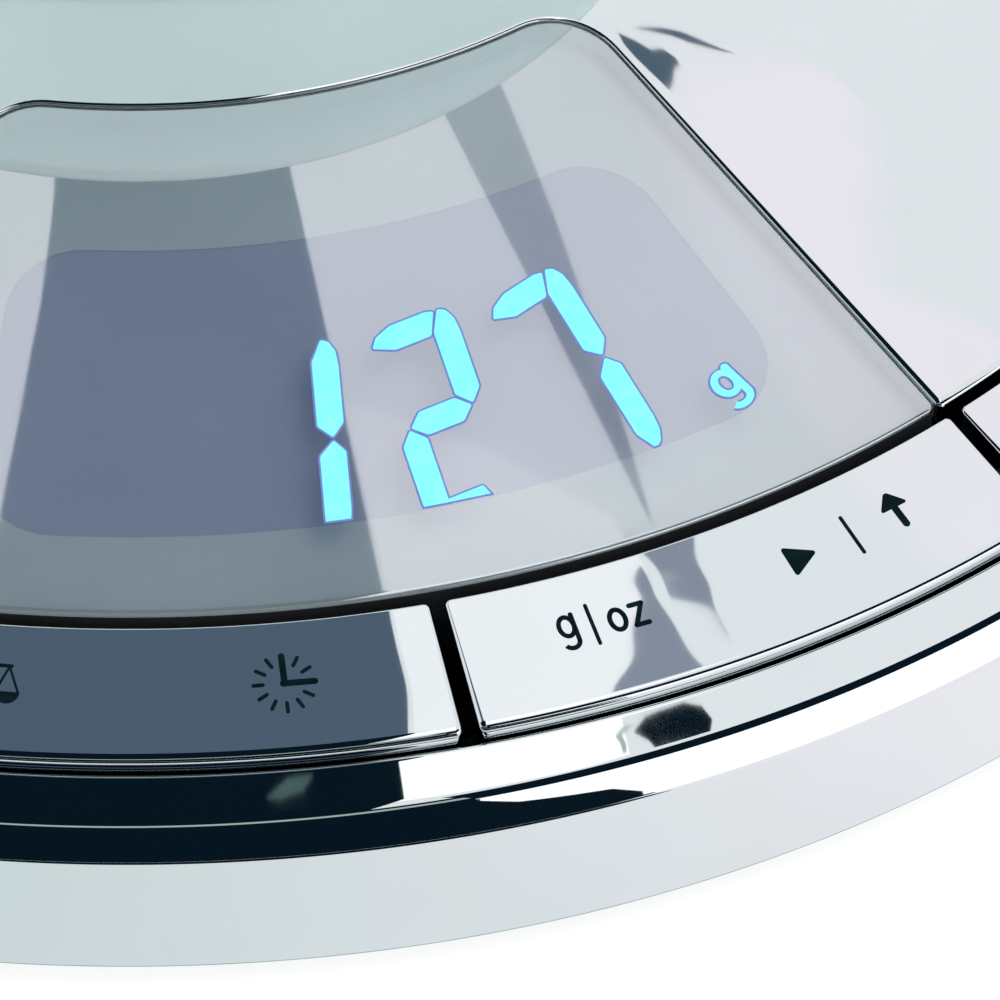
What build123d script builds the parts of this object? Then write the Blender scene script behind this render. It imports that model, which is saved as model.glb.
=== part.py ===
from build123d import *
import os
from math import atan, atan2, cos, degrees, radians, sin

# A round electronic kitchen scale with a mirror-finished conical top. Millimetres, +Z up.
# The origin is on the table at the centre of the round base. The control side faces -Y:
# a fan-shaped display window above two rocker keys that share the ring round the top.

# ---- Driving dimensions ------------------------------------------------------------------
OUTER_R = 105.0          # outside of the rim
FOOT_H = 1.5             # height of the rim's lower edge above the table
WALL_H = 10.9            # upright wall of the rim
SHOULDER_R = 103.5       # crease half way up the shoulder
SHOULDER_H = 13.4        # height of the crease above the rim's lower edge
RIM_IN_R = 100.8         # inner edge of the rim, where the key ring starts
RIM_IN_H = 15.4
CONE_EDGE_R = 89.9       # middle of the gap between the cone and the key ring
CONE_EDGE_H = 19.2       # height of the cone there, above the rim's lower edge
CONE_RISE = 0.2624       # height gained for each millimetre towards the centre
RING_GAP = 0.9           # gap between the cone and the keys
KEY_GAP = 1.1            # gap between two keys
KEY_OUT_R = 100.0
KEY_SKIRT_Z = 13.6       # lower edge of the keys
KEY_TOP_T = 1.6
KEY_ROLL = 1.3           # width of the rounded outer edge
KEY_SPAN = 26.3          # angle that one key takes, with its gap
WINDOW_IN_R = 49.5
WINDOW_HALF = 25.8       # half of the window's angle
WINDOW_CORNER = 5.0
WINDOW_T = 2.0
FILM_IN_R = 59.4         # the tinted display area
FILM_OUT_R = 81.9
FILM_HALF = 20.3
FILM_CORNER = 4.5
FILM_T = 0.35
DIGIT_PITCH = 7.75       # angle from one digit to the next
FIRST_DIGIT = -12.6      # direction of the first of the four digits, from the centre line
DIGIT_COUNT = 4
LIGHT_BOX_IN_R = 59.6
LIGHT_BOX_OUT_R = 85.3
LIGHT_BOX_HALF = 20.7
WELL_IN_R = 66.5         # light well behind one digit
WELL_OUT_R = 81.5
WELL_WIDTH = 6.6
SHELL_T = 1.8            # top cover
FLARE_R = 20.0           # concave sweep from the cone up to the collar
FLARE_END = 60.0         # slope of the collar's top edge, in degrees
COVER_LIP_Z = 14.0       # lower edge of the top cover
HUB_R = 34.0
HUB_TOP_R = 38.5
HUB_IN_R = 27.0
HUB_Z = 28.0
HUB_FLOOR_Z = 31.0       # top of the floor inside the hub
HUB_SCREW_R = 16.0
HUB_SCREW_ANGLES = (90, 210, 330)
CARRIER_Z = 25.5
GLASS_R = 49.0           # weighing platform
GLASS_Z = 47.1
GLASS_T = 5.0
BOND_T = 0.5
PLATFORM_TRAVEL = 0.5    # sag of the load cell at full load
PIVOT_Z = 11.4
PLUNGER_R = 1.6
PLUNGER_Z = 13.2         # lower end of the keys' plungers
PIN_R = 0.8
RUNNING = 0.05           # radial clearance of the pins in the keys
KEY_BOARD_IN_R = 92.5
KEY_BOARD_OUT_R = 97.7
KEY_BOARD_T = 1.0
PAN_Z = 2.2
PAN_T = 2.5
PAN_R = 102.3
TRAY_Z = 6.0
TRAY_T = 1.5
TRAY_IN_R = 86.2
TRAY_OUT_R = 102.4
CELL_LENGTH = 75.0
CELL_WIDTH = 12.7
CELL_Z = 10.0
CELL_BOLT_X = (17.5, 32.5)
CELL_HOLE_Z = 14.0       # bottom of the holes that take the top screws
AAA_R = 5.25
AAA_LENGTH = 44.5
BATTERY_Y = 63.0
BATTERY_PITCH = 11.0
BAY_X = 25.3
BAY_Y = 16.8
BAY_TOP = 16.2
WALL = 1.2
DOOR_T = 1.4
DOOR_LIP = 1.6
SCREW_RING_R = 95.2
SCREW_ANGLES = (0, 60, 120, 180, 240, 300)
POST_RING_R = 73.5       # posts that hold the top cover down
POST_R = 3.0
FOOT_R = 8.0
FOOT_RING_R = 86.0
FOOT_ANGLES = (38, 142, 218, 322)
SPEAKER_AT = (-58.0, 14.0)
SPEAKER_R = 14.0
BOARD_AT = (60.0, 4.0)
BOARD_SIZE = (34.0, 48.0)
BOARD_T = 1.6
BOARD_Z = 8.0
SOCKET_H = 4.6
KEY_RIBBON_START = (36.3, -85.6)
KEY_RIBBON_END = (56.5, -17.5)
KEY_RIBBON_Z = 8.0
RIBBON_T = 0.3
SOCKET_WIDTH = 9.0
SOCKET_DEPTH = 4.5
BIG = 150.0              # larger than anything in the model, for cutting tools

# ---- Dimensions that follow --------------------------------------------------------------
FRONT = -90.0            # direction of the control panel's centre line
CONE_ANGLE = degrees(atan(CONE_RISE))
COVER_R = CONE_EDGE_R - RING_GAP / 2
KEY_IN_R = CONE_EDGE_R + RING_GAP / 2
PAN_TOP = PAN_Z + PAN_T
TRAY_TOP = TRAY_Z + TRAY_T
TRAY_WALL = 1.4
CELL_TOP = CELL_Z + CELL_WIDTH
SIDE_SOCKET_X = BOARD_AT[0] - 14.25 - SOCKET_DEPTH / 2
FRONT_SOCKET_Y = BOARD_AT[1] - 21.0 - SOCKET_DEPTH / 2
KEY_MIDDLE_R = (KEY_IN_R + KEY_OUT_R) / 2
KEY_MIDDLES = {"left": FRONT - KEY_SPAN / 2, "right": FRONT + KEY_SPAN / 2}


def cone_z(radius):
    """Height of the conical top at a radius."""
    return FOOT_H + CONE_EDGE_H + (CONE_EDGE_R - radius) * CONE_RISE


def turned(points):
    """A ring turned round the Z axis from its (radius, height) outline."""
    face = Plane.XZ * make_face(Polyline(*points, close=True))
    return revolve(face, Axis.Z)


def tube(outer, inner, bottom, top):
    ring = Circle(outer) - Circle(inner) if inner else Circle(outer)
    return Pos(0, 0, bottom) * extrude(ring, top - bottom)


def polar(radius, angle):
    """A place at a radius and direction, without turning what is put there."""
    return Pos(radius * cos(radians(angle)), radius * sin(radians(angle)), 0)


def block(x0, x1, y0, y1, z0, z1):
    return Pos((x0 + x1) / 2, (y0 + y1) / 2, (z0 + z1) / 2) * Box(x1 - x0, y1 - y0, z1 - z0)


def cone_layer(depth, thickness, inner, outer):
    """A conical sheet, parallel to the top, that starts at a depth below it."""
    top = [(inner, cone_z(inner) - depth), (outer, cone_z(outer) - depth)]
    bottom = [(radius, height - thickness) for radius, height in reversed(top)]
    return turned(top + bottom)


def fan(inner, outer, half, corner=0.0, outer_corner=0.0):
    """An upright prism over a fan-shaped outline on the centre line of the control side."""
    near, far = radians(FRONT - half), radians(FRONT + half)
    a, b = (inner * cos(near), inner * sin(near)), (outer * cos(near), outer * sin(near))
    c, d = (outer * cos(far), outer * sin(far)), (inner * cos(far), inner * sin(far))
    edges = [Line(a, b), ThreePointArc(b, (0, -outer), c), Line(c, d), ThreePointArc(d, (0, -inner), a)]
    face = make_face(edges)
    by_radius = face.vertices().sort_by(lambda v: v.X**2 + v.Y**2)
    if corner:
        face = fillet(by_radius[:2], corner)
    if outer_corner:
        by_radius = face.vertices().sort_by(lambda v: v.X**2 + v.Y**2)
        face = fillet(by_radius[-2:], outer_corner)
    return extrude(face, BIG)


def sector(start, end):
    """An upright wedge between two directions, wider than the model."""
    points = [(0, 0)]
    steps = max(2, int((end - start) / 30) + 1)
    for step in range(steps + 1):
        angle = radians(start + (end - start) * step / steps)
        points.append((BIG * cos(angle), BIG * sin(angle)))
    return extrude(make_face(Polyline(*points, close=True)), BIG)


def display_slab(depth, thickness):
    """A flat slab, tangent to the cone's centre line and a depth below it."""
    middle = (FILM_IN_R + FILM_OUT_R) / 2
    lean = radians(CONE_ANGLE)
    plane = Plane(origin=(0, -middle, cone_z(middle)), x_dir=(1, 0, 0), z_dir=(0, -sin(lean), cos(lean)))
    return plane * Pos(0, 0, -depth - thickness / 2) * Box(90, 60, thickness)


# ---- Chrome outside ----------------------------------------------------------------------
def rim_ring():
    """Upright wall, creased shoulder and inner lip, hollow behind."""
    z = FOOT_H
    outline = [
        (OUTER_R - 2.4, z + 0.5),
        (OUTER_R - 0.7, z),
        (OUTER_R - 0.2, z + 0.2),
        (OUTER_R, z + 0.7),
        (OUTER_R, z + WALL_H - 0.9),
        (OUTER_R - 0.15, z + WALL_H - 0.2),
        (SHOULDER_R, z + SHOULDER_H),
        (RIM_IN_R + 0.3, z + RIM_IN_H),
        (RIM_IN_R, z + RIM_IN_H - 0.25),
        (RIM_IN_R, z + RIM_IN_H - 1.7),
        (RIM_IN_R + 1.8, z + SHOULDER_H - 1.2),
        (OUTER_R - 2.4, z + WALL_H - 1.6),
    ]
    return turned(outline)


def cover_profile():
    """Outline of the top cover: edge lip, cone and concave sweep up to the collar."""
    lean, end = radians(CONE_ANGLE), radians(FLARE_END)
    start = (WINDOW_IN_R - 1.0, cone_z(WINDOW_IN_R - 1.0))
    centre = (start[0] + FLARE_R * sin(lean), start[1] + FLARE_R * cos(lean))

    def on_sweep(angle, radius):
        return (centre[0] - radius * sin(angle), centre[1] - radius * cos(angle))

    middle = (lean + end) / 2
    upper, lower = FLARE_R, FLARE_R + SHELL_T
    lip_in, lip_z = COVER_R - 1.5, COVER_LIP_Z
    under = SHELL_T / cos(lean)
    edges = [
        Line((COVER_R, cone_z(COVER_R)), on_sweep(lean, upper)),
        ThreePointArc(on_sweep(lean, upper), on_sweep(middle, upper), on_sweep(end, upper)),
        Line(on_sweep(end, upper), on_sweep(end, lower)),
        ThreePointArc(on_sweep(end, lower), on_sweep(middle, lower), on_sweep(lean, lower)),
        Line(on_sweep(lean, lower), (lip_in, cone_z(lip_in) - under)),
        Line((lip_in, cone_z(lip_in) - under), (lip_in, lip_z)),
        Line((lip_in, lip_z), (COVER_R, lip_z)),
        Line((COVER_R, lip_z), (COVER_R, cone_z(COVER_R))),
    ]
    return make_face(edges)


def top_cover():
    body = revolve(Plane.XZ * cover_profile(), Axis.Z)
    body -= fan(WINDOW_IN_R - 0.2, BIG, WINDOW_HALF + 0.2, WINDOW_CORNER)
    posts = [polar(POST_RING_R, angle) * tube(POST_R, 1.3, PAN_TOP, 30) for angle in FOOT_ANGLES]
    under = turned([(60, 0), (60, cone_z(60) - 1.0), (88, cone_z(88) - 1.0), (88, 0)])
    for post in posts:
        body += post & under
    return body


def key_ring():
    """The whole ring of key tops, before its gaps are cut."""
    outline = [
        (KEY_IN_R, KEY_SKIRT_Z),
        (KEY_IN_R, cone_z(KEY_IN_R) - 0.25),
        (KEY_IN_R + 0.25, cone_z(KEY_IN_R + 0.25)),
        (KEY_OUT_R - KEY_ROLL, cone_z(KEY_OUT_R - KEY_ROLL)),
        (KEY_OUT_R - 0.4, cone_z(KEY_OUT_R) - 0.25),
        (KEY_OUT_R, cone_z(KEY_OUT_R) - 1.2),
        (KEY_OUT_R, KEY_SKIRT_Z),
        (KEY_OUT_R - WALL, KEY_SKIRT_Z),
        (KEY_OUT_R - WALL, cone_z(KEY_OUT_R) - 1.0 - KEY_TOP_T),
        (KEY_IN_R + WALL, cone_z(KEY_IN_R) - 0.4 - KEY_TOP_T),
        (KEY_IN_R + WALL, KEY_SKIRT_Z),
    ]
    return turned(outline)


def gap_slot(angle):
    """The straight gap between two keys."""
    return Rot(0, 0, angle) * block(80, 110, -KEY_GAP / 2, KEY_GAP / 2, 0, 40)


def end_wall(angle, side):
    """A key's end face, just inside a gap, on one side (1 or -1) of it."""
    y0, y1 = sorted((side * KEY_GAP / 2, side * (KEY_GAP / 2 + WALL)))
    return Rot(0, 0, angle) * block(KEY_IN_R + 0.1, KEY_OUT_R - 0.1, y0, y1, KEY_SKIRT_Z, 30)


def under_keys():
    """The space under the key tops, where their ribs and plungers may be."""
    top = 1.0
    outline = [
        (KEY_IN_R, 0),
        (KEY_IN_R, cone_z(KEY_IN_R) - top),
        (KEY_OUT_R - 0.5, cone_z(KEY_OUT_R - 0.5) - top - 0.6),
        (KEY_OUT_R - 0.5, 0),
    ]
    return turned(outline)


def rocker_key(side):
    """A key that rocks on a pin below its middle, with a plunger under each of its two functions."""
    middle = KEY_MIDDLES[side]
    start, end = middle - KEY_SPAN / 2, middle + KEY_SPAN / 2
    top = key_ring() & sector(start, end)
    ribs = end_wall(start, 1) + end_wall(end, -1)
    ribs += Rot(0, 0, middle) * block(KEY_MIDDLE_R - 2.4, KEY_MIDDLE_R + 2.4, -2, 2, PIVOT_Z - 1.8, 25)
    for step in (-KEY_SPAN / 4, KEY_SPAN / 4):
        ribs += polar(KEY_MIDDLE_R, middle + step) * tube(PLUNGER_R, 0, PLUNGER_Z, 25)
    key = top + (ribs & under_keys())
    key -= gap_slot(start)
    key -= gap_slot(end)
    return key - pivot(middle, PIN_R + RUNNING, 20)


def pivot(angle, radius, length):
    """A cylinder along the axis that the key at an angle rocks about."""
    return Rot(0, 0, angle) * Pos(KEY_MIDDLE_R, 0, PIVOT_Z) * Rot(0, 90, 0) * Cylinder(radius, length)


def ring_trim():
    """The fixed rest of the key ring, with bosses for the case screws."""
    start, end = FRONT + KEY_SPAN, FRONT + 360 - KEY_SPAN
    trim = key_ring() & sector(start, end)
    ribs = end_wall(start, 1) + end_wall(end, -1)
    for angle in SCREW_ANGLES:
        ribs += polar(SCREW_RING_R, angle) * tube(3.0, 0, TRAY_TOP, 25)
    trim += ribs & under_keys()
    for angle in SCREW_ANGLES:
        trim -= polar(SCREW_RING_R, angle) * tube(1.3, 0, 0, 15)
    return trim - gap_slot(start) - gap_slot(end)


# ---- Display -----------------------------------------------------------------------------
def window_panel():
    outline = fan(WINDOW_IN_R, COVER_R - 0.1, WINDOW_HALF, WINDOW_CORNER)
    return cone_layer(0, WINDOW_T, WINDOW_IN_R - 5, COVER_R) & outline


def display_film():
    layer = cone_layer(WINDOW_T, FILM_T, FILM_IN_R - 5, FILM_OUT_R + 5)
    return layer & fan(FILM_IN_R, FILM_OUT_R, FILM_HALF, FILM_CORNER, FILM_CORNER)


def display_frame():
    """Flange that the window is bonded to, walls round the light box, and an apron at the keys."""
    depth = WINDOW_T + 0.2
    layer = cone_layer(depth, 1.4, WINDOW_IN_R - 4, COVER_R)
    flange = layer & fan(WINDOW_IN_R - 2.5, COVER_R - 1.8, WINDOW_HALF + 1.7)
    flange += layer & fan(WINDOW_IN_R, COVER_R - 0.1, WINDOW_HALF)
    apron = turned([
        (COVER_R - 1.5, COVER_LIP_Z),
        (COVER_R - 0.1, COVER_LIP_Z),
        (COVER_R - 0.1, cone_z(COVER_R) - depth - 0.2),
        (COVER_R - 1.5, cone_z(COVER_R) - depth - 0.2),
    ]) & fan(60, BIG, WINDOW_HALF)
    wall_layer = cone_layer(depth + 1.0, 9.0, WINDOW_IN_R, COVER_R)
    walls = wall_layer & (fan(57.8, 86.0, 22.0) - fan(59.2, BIG, 20.9))
    return flange + apron + walls - fan(58.5, 85.8, 21.2)


def light_box():
    """The block of light wells behind the segments, with one well for each digit."""
    box = display_slab(4.2, 4.8) & fan(LIGHT_BOX_IN_R, LIGHT_BOX_OUT_R, LIGHT_BOX_HALF)
    for angle in digit_angles():
        well = Rot(0, 0, angle) * block(WELL_IN_R, WELL_OUT_R, -WELL_WIDTH / 2, WELL_WIDTH / 2, 0, 60)
        box -= well & display_slab(3.0, 7.0)
    return box


def digit_angles():
    return [FRONT + FIRST_DIGIT + number * DIGIT_PITCH for number in range(DIGIT_COUNT)]


def display_board():
    return display_slab(9.0, 1.2) & fan(LIGHT_BOX_IN_R, LIGHT_BOX_OUT_R, LIGHT_BOX_HALF)


def display_leds():
    """One row of light-emitting diodes on the board for each digit."""
    middle, step = (WELL_IN_R + WELL_OUT_R) / 2, 4.7
    leds = []
    for angle in digit_angles():
        for radius in (middle - step, middle, middle + step):
            footprint = Rot(0, 0, angle) * block(radius - 1.0, radius + 1.0, -1.6, 1.6, 0, 60)
            leds.append(footprint & display_slab(8.0, 1.0))
    return Compound(children=[part.solid() for part in leds])


# ---- Keys and their switching ------------------------------------------------------------
def key_tray():
    """Black channel under the key ring, with two ears for each key's pin."""
    outline = [
        (TRAY_IN_R, TRAY_Z),
        (TRAY_OUT_R, TRAY_Z),
        (TRAY_OUT_R, TRAY_Z + 6.0),
        (TRAY_OUT_R - 1.2, TRAY_Z + 6.0),
        (TRAY_OUT_R - 1.2, TRAY_TOP),
        (TRAY_IN_R + TRAY_WALL, TRAY_TOP),
        (TRAY_IN_R + TRAY_WALL, TRAY_Z + 10.0),
        (TRAY_IN_R, TRAY_Z + 10.0),
    ]
    tray = turned(outline)
    for middle in KEY_MIDDLES.values():
        for inner, outer in ((90.8, 92.2), (98.0, 99.4)):
            tray += Rot(0, 0, middle) * block(inner, outer, -2.6, 2.6, TRAY_TOP - 0.5, PIVOT_Z + 1.6)
        tray -= pivot(middle, PIN_R + 0.01, 8.0)
    for angle in SCREW_ANGLES:
        tray -= polar(SCREW_RING_R, angle) * tube(1.7, 0, 0, 20)
    level_run = [(0, KEY_RIBBON_Z), (0.3, KEY_RIBBON_Z)]
    return tray - ribbon(KEY_RIBBON_START, KEY_RIBBON_END, level_run, 8.0, thickness=2.0)


def pivot_pins():
    return Compound(children=[pivot(middle, PIN_R, 7.8).solid() for middle in KEY_MIDDLES.values()])


def key_board():
    ring = tube(KEY_BOARD_OUT_R, KEY_BOARD_IN_R, TRAY_TOP, TRAY_TOP + KEY_BOARD_T)
    return ring & sector(FRONT - KEY_SPAN + 1.5, FRONT + KEY_SPAN - 1.5)


def keypad(side):
    """Silicone strip with a dome under each function of one key."""
    middle = KEY_MIDDLES[side]
    base = TRAY_TOP + KEY_BOARD_T
    strip = tube(KEY_BOARD_OUT_R - 0.3, KEY_BOARD_IN_R + 0.3, base, base + 0.7)
    strip &= sector(middle - KEY_SPAN / 2 + 2.0, middle + KEY_SPAN / 2 - 2.0)
    height = PLUNGER_Z - 0.05 - base - 0.7
    for step in (-KEY_SPAN / 4, KEY_SPAN / 4):
        dome = Pos(0, 0, base + 0.7 + height / 2) * Cone(2.2, 1.3, height)
        strip += polar(KEY_MIDDLE_R, middle + step) * dome
    return strip


# ---- Weighing mechanism ------------------------------------------------------------------
def weighing_glass():
    disc = tube(GLASS_R, 0, GLASS_Z, GLASS_Z + GLASS_T)
    return fillet(disc.edges(), 1.4)


def bonding_ring():
    return tube(HUB_TOP_R - 2.0, HUB_IN_R + 1.0, GLASS_Z - BOND_T, GLASS_Z)


def platform_hub():
    """Hollow column through the collar, flared to carry the glass."""
    top = GLASS_Z - BOND_T
    outline = [
        (0, HUB_Z),
        (HUB_R, HUB_Z),
        (HUB_R, 42.6),
        (HUB_R + 1.4, 43.6),
        (HUB_TOP_R, 44.6),
        (HUB_TOP_R, top),
        (HUB_IN_R, top),
        (HUB_IN_R, HUB_FLOOR_Z),
        (0, HUB_FLOOR_Z),
    ]
    hub = turned(outline)
    for angle in HUB_SCREW_ANGLES:
        hub -= polar(HUB_SCREW_R, angle) * tube(2.2, 0, 20, 40)
    return hub


def hub_screws():
    screws = []
    for angle in HUB_SCREW_ANGLES:
        top = HUB_FLOOR_Z
        screw = tube(1.95, 0, CARRIER_Z, top) + tube(3.6, 1.2, top, top + 2.4) + tube(1.3, 0, top, top + 0.8)
        screws.append((polar(HUB_SCREW_R, angle) * screw).solid())
    return Compound(children=screws)


def carrier_plate():
    """Steel plate that joins the hub to the free end of the load cell."""
    plate = tube(HUB_IN_R, 0, CARRIER_Z, HUB_Z) + block(0, 40, -10, 10, CARRIER_Z, HUB_Z)
    for angle in HUB_SCREW_ANGLES:
        plate -= polar(HUB_SCREW_R, angle) * tube(2.0, 0, 20, 40)
    for x in CELL_BOLT_X:
        plate -= Pos(x, 0, 0) * tube(2.2, 0, 20, 40)
        plate -= Pos(x, 0, HUB_Z - 1.0) * Cone(2.2, 4.3, 2.05)
    return plate


def cell_top_spacer():
    spacer = block(12.5, 37.5, -CELL_WIDTH / 2, CELL_WIDTH / 2, CELL_TOP, CARRIER_Z)
    for x in CELL_BOLT_X:
        spacer -= Pos(x, 0, 0) * tube(2.2, 0, 20, 40)
    return spacer


def cell_top_screws():
    """Countersunk screws, flush with the carrier plate."""
    screws = []
    for x in CELL_BOLT_X:
        screw = tube(2.0, 0, CELL_HOLE_Z + PLATFORM_TRAVEL + 0.5, HUB_Z - 0.1)
        screw += Pos(0, 0, HUB_Z - 1.05) * Cone(2.0, 4.0, 1.9)
        screws.append((Pos(x, 0, 0) * screw).solid())
    return Compound(children=screws)


def load_cell():
    """Aluminium bending beam with the double-bore cut-out that sets its flexures."""
    half = CELL_WIDTH / 2
    middle_z = CELL_Z + half
    beam = block(-CELL_LENGTH / 2, CELL_LENGTH / 2, -half, half, CELL_Z, CELL_TOP)
    for x in (-7.5, 7.5):
        beam -= Pos(x, 0, middle_z) * Rot(90, 0, 0) * Cylinder(4.9, 30)
    beam -= block(-7.5, 7.5, -15, 15, middle_z - 2.0, middle_z + 2.0)
    for x in CELL_BOLT_X:
        beam -= Pos(x, 0, 0) * tube(2.1, 0, CELL_HOLE_Z, 40)
        beam -= Pos(-x, 0, 0) * tube(2.1, 0, 0, 18.7)
    return beam


def strain_gauges():
    """The gauges' potting over the thin flexures of the beam."""
    pads = []
    for x in (-7.5, 7.5):
        for low in (CELL_Z - 0.6, CELL_TOP):
            pads.append(block(x - 4.0, x + 4.0, -4.0, 4.0, low, low + 0.6).solid())
    return Compound(children=pads)


def cell_base_block():
    base = block(-CELL_LENGTH / 2, -12.5, -CELL_WIDTH / 2, CELL_WIDTH / 2, PAN_TOP, CELL_Z)
    for x in CELL_BOLT_X:
        base -= Pos(-x, 0, 0) * tube(2.2, 0, 0, 20)
    return base


def cell_base_screws():
    screws = []
    for x in CELL_BOLT_X:
        screw = tube(2.0, 0, 3.3, 18.0) + tube(3.6, 0, 2.4, 3.4)
        screws.append((Pos(-x, 0, 0) * screw).solid())
    return Compound(children=screws)


def overload_stop():
    """A set screw under the beam's free end, a little lower than its full travel."""
    return Pos(30.0, 0, 0) * tube(2.5, 0, PAN_TOP, CELL_Z - PLATFORM_TRAVEL - 0.2)


# ---- Base --------------------------------------------------------------------------------
def base_pan():
    pan = tube(PAN_R, 0, PAN_Z, PAN_TOP) + tube(PAN_R, PAN_R - 1.6, PAN_TOP - 0.5, TRAY_Z - 0.1)
    pan -= bay_block(0, 0, 20)
    pan -= bay_block(DOOR_LIP + 0.3, 0, PAN_Z + DOOR_T + 0.3)
    for angle in FOOT_ANGLES:
        pan -= polar(FOOT_RING_R, angle) * tube(FOOT_R + 0.1, 0, 0, PAN_Z + 0.9)
    for angle in SCREW_ANGLES:
        pan -= polar(SCREW_RING_R, angle) * tube(1.7, 0, 0, 20)
        pan -= polar(SCREW_RING_R, angle) * tube(3.2, 0, 0, PAN_Z + 1.6)
    for angle in FOOT_ANGLES:
        pan -= polar(POST_RING_R, angle) * tube(1.6, 0, 0, 20)
        pan -= polar(POST_RING_R, angle) * tube(3.2, 0, 0, PAN_Z + 1.6)
    for x in CELL_BOLT_X:
        pan -= Pos(-x, 0, 0) * tube(2.2, 0, 0, 20)
        pan -= Pos(-x, 0, 0) * tube(4.0, 0, 0, 3.45)
    x, y = SPEAKER_AT
    pan += Pos(x, y, 0) * tube(SPEAKER_R + 1.6, SPEAKER_R + 0.3, PAN_TOP - 0.5, PAN_TOP + 3.5)
    for radius, count in ((0.0, 1), (4.0, 6), (8.0, 12)):
        for number in range(count):
            pan -= Pos(x, y, 0) * polar(radius, 360 * number / count) * tube(0.9, 0, 0, 10)
    for pos in board_posts():
        pan += pos * tube(2.4, 0, PAN_TOP - 0.5, BOARD_Z)
        pan -= pos * tube(1.0, 0, 4.0, BOARD_Z + 1)
    return pan


def bay_block(margin, z0, z1):
    """A block over the battery opening, wider all round by a margin."""
    x, y = BAY_X + margin, BAY_Y + margin
    return block(-x, x, BATTERY_Y - y, BATTERY_Y + y, z0, z1)


def board_posts():
    x, y = BOARD_AT
    dx, dy = BOARD_SIZE[0] / 2 - 3.5, BOARD_SIZE[1] / 2 - 3.5
    return [Pos(x + sx * dx, y + sy * dy, 0) for sx in (-1, 1) for sy in (-1, 1)]


def rubber_feet():
    feet = []
    for angle in FOOT_ANGLES:
        foot = tube(FOOT_R, 0, 0, PAN_Z + 0.9)
        foot = chamfer(foot.edges().sort_by(Axis.Z)[0], 0.5)
        feet.append((polar(FOOT_RING_R, angle) * foot).solid())
    return Compound(children=feet)


def base_screw():
    """A cross-head screw that enters from below."""
    head = tube(2.9, 0, PAN_Z + 0.1, PAN_Z + 1.6)
    slot = block(-1.8, 1.8, -0.35, 0.35, PAN_Z, PAN_Z + 0.9)
    cross = slot + Rot(0, 0, 90) * slot
    return head + tube(1.25, 0, PAN_Z + 1.5, 14.5) - cross


def base_screws(radius, angles):
    return Compound(children=[(polar(radius, angle) * base_screw()).solid() for angle in angles])


def case_screws():
    return base_screws(SCREW_RING_R, SCREW_ANGLES)


def cover_screws():
    return base_screws(POST_RING_R, FOOT_ANGLES)


# ---- Batteries and electronics -----------------------------------------------------------
def battery_box():
    """Inverted tub over the opening in the base."""
    return bay_block(WALL, PAN_TOP, BAY_TOP + WALL) - bay_block(0, 0, BAY_TOP)


def battery_ys():
    return [BATTERY_Y + step * BATTERY_PITCH for step in (-1, 0, 1)]


def batteries():
    cells = []
    for number, y in enumerate(battery_ys()):
        nub_side = 1 if number % 2 else -1
        half = AAA_LENGTH / 2
        can = Rot(0, 90, 0) * Cylinder(AAA_R, AAA_LENGTH - 1.0)
        nub = Pos(nub_side * (half - 0.5), 0, 0) * Rot(0, 90, 0) * Cylinder(1.9, 1.6)
        cell = Pos(-nub_side * 0.5, 0, 0) * can + nub
        cells.append((Pos(0, y, 10.4) * cell).solid())
    return Compound(children=cells)


def battery_contacts():
    """A bent spring leaf at each end of each cell."""
    leaves = []
    for y in battery_ys():
        for side in (-1, 1):
            outer, inner = side * (BAY_X - 0.05), side * (AAA_LENGTH / 2 + 0.65)
            thick = side * 0.35
            outline = Polyline(
                (outer, 5.5), (outer, 15.5), (outer - thick, 15.5), (inner, 10.6),
                (inner, 10.2), (outer - thick, 5.5), close=True,
            )
            leaf = Plane.XZ * make_face(outline)
            hollow = Polyline(
                (outer - thick, 7.0), (outer - thick, 13.8), (inner + thick, 10.4), close=True,
            )
            leaf -= Plane.XZ * make_face(hollow)
            leaves.append((Pos(0, y + 2.5, 0) * extrude(leaf, 5.0)).solid())
    return Compound(children=leaves)


def battery_door():
    """Flush cover over the cells, with ribs for the thumb at its latch side."""
    y0 = BATTERY_Y - BAY_Y - DOOR_LIP
    door = bay_block(DOOR_LIP, PAN_Z, PAN_Z + DOOR_T)
    for number in range(4):
        door -= block(-9, 9, y0 + 2.5 + 1.8 * number, y0 + 3.4 + 1.8 * number, 0, PAN_Z + 0.5)
    tongue = block(-6, 6, y0 + 2.3, y0 + 3.5, PAN_Z + DOOR_T, PAN_Z + DOOR_T + 1.6)
    return door + tongue


def main_board():
    x, y = BOARD_AT
    dx, dy = BOARD_SIZE[0] / 2, BOARD_SIZE[1] / 2
    board = block(x - dx, x + dx, y - dy, y + dy, BOARD_Z, BOARD_Z + BOARD_T)
    for pos in board_posts():
        board -= pos * tube(1.3, 0, 0, 20)
    return board


def board_screws():
    screws = []
    for pos in board_posts():
        top = BOARD_Z + BOARD_T
        screw = tube(0.95, 0, 4.6, top) + tube(2.1, 0, top, top + 1.3)
        screws.append((pos * screw).solid())
    return Compound(children=screws)


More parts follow.
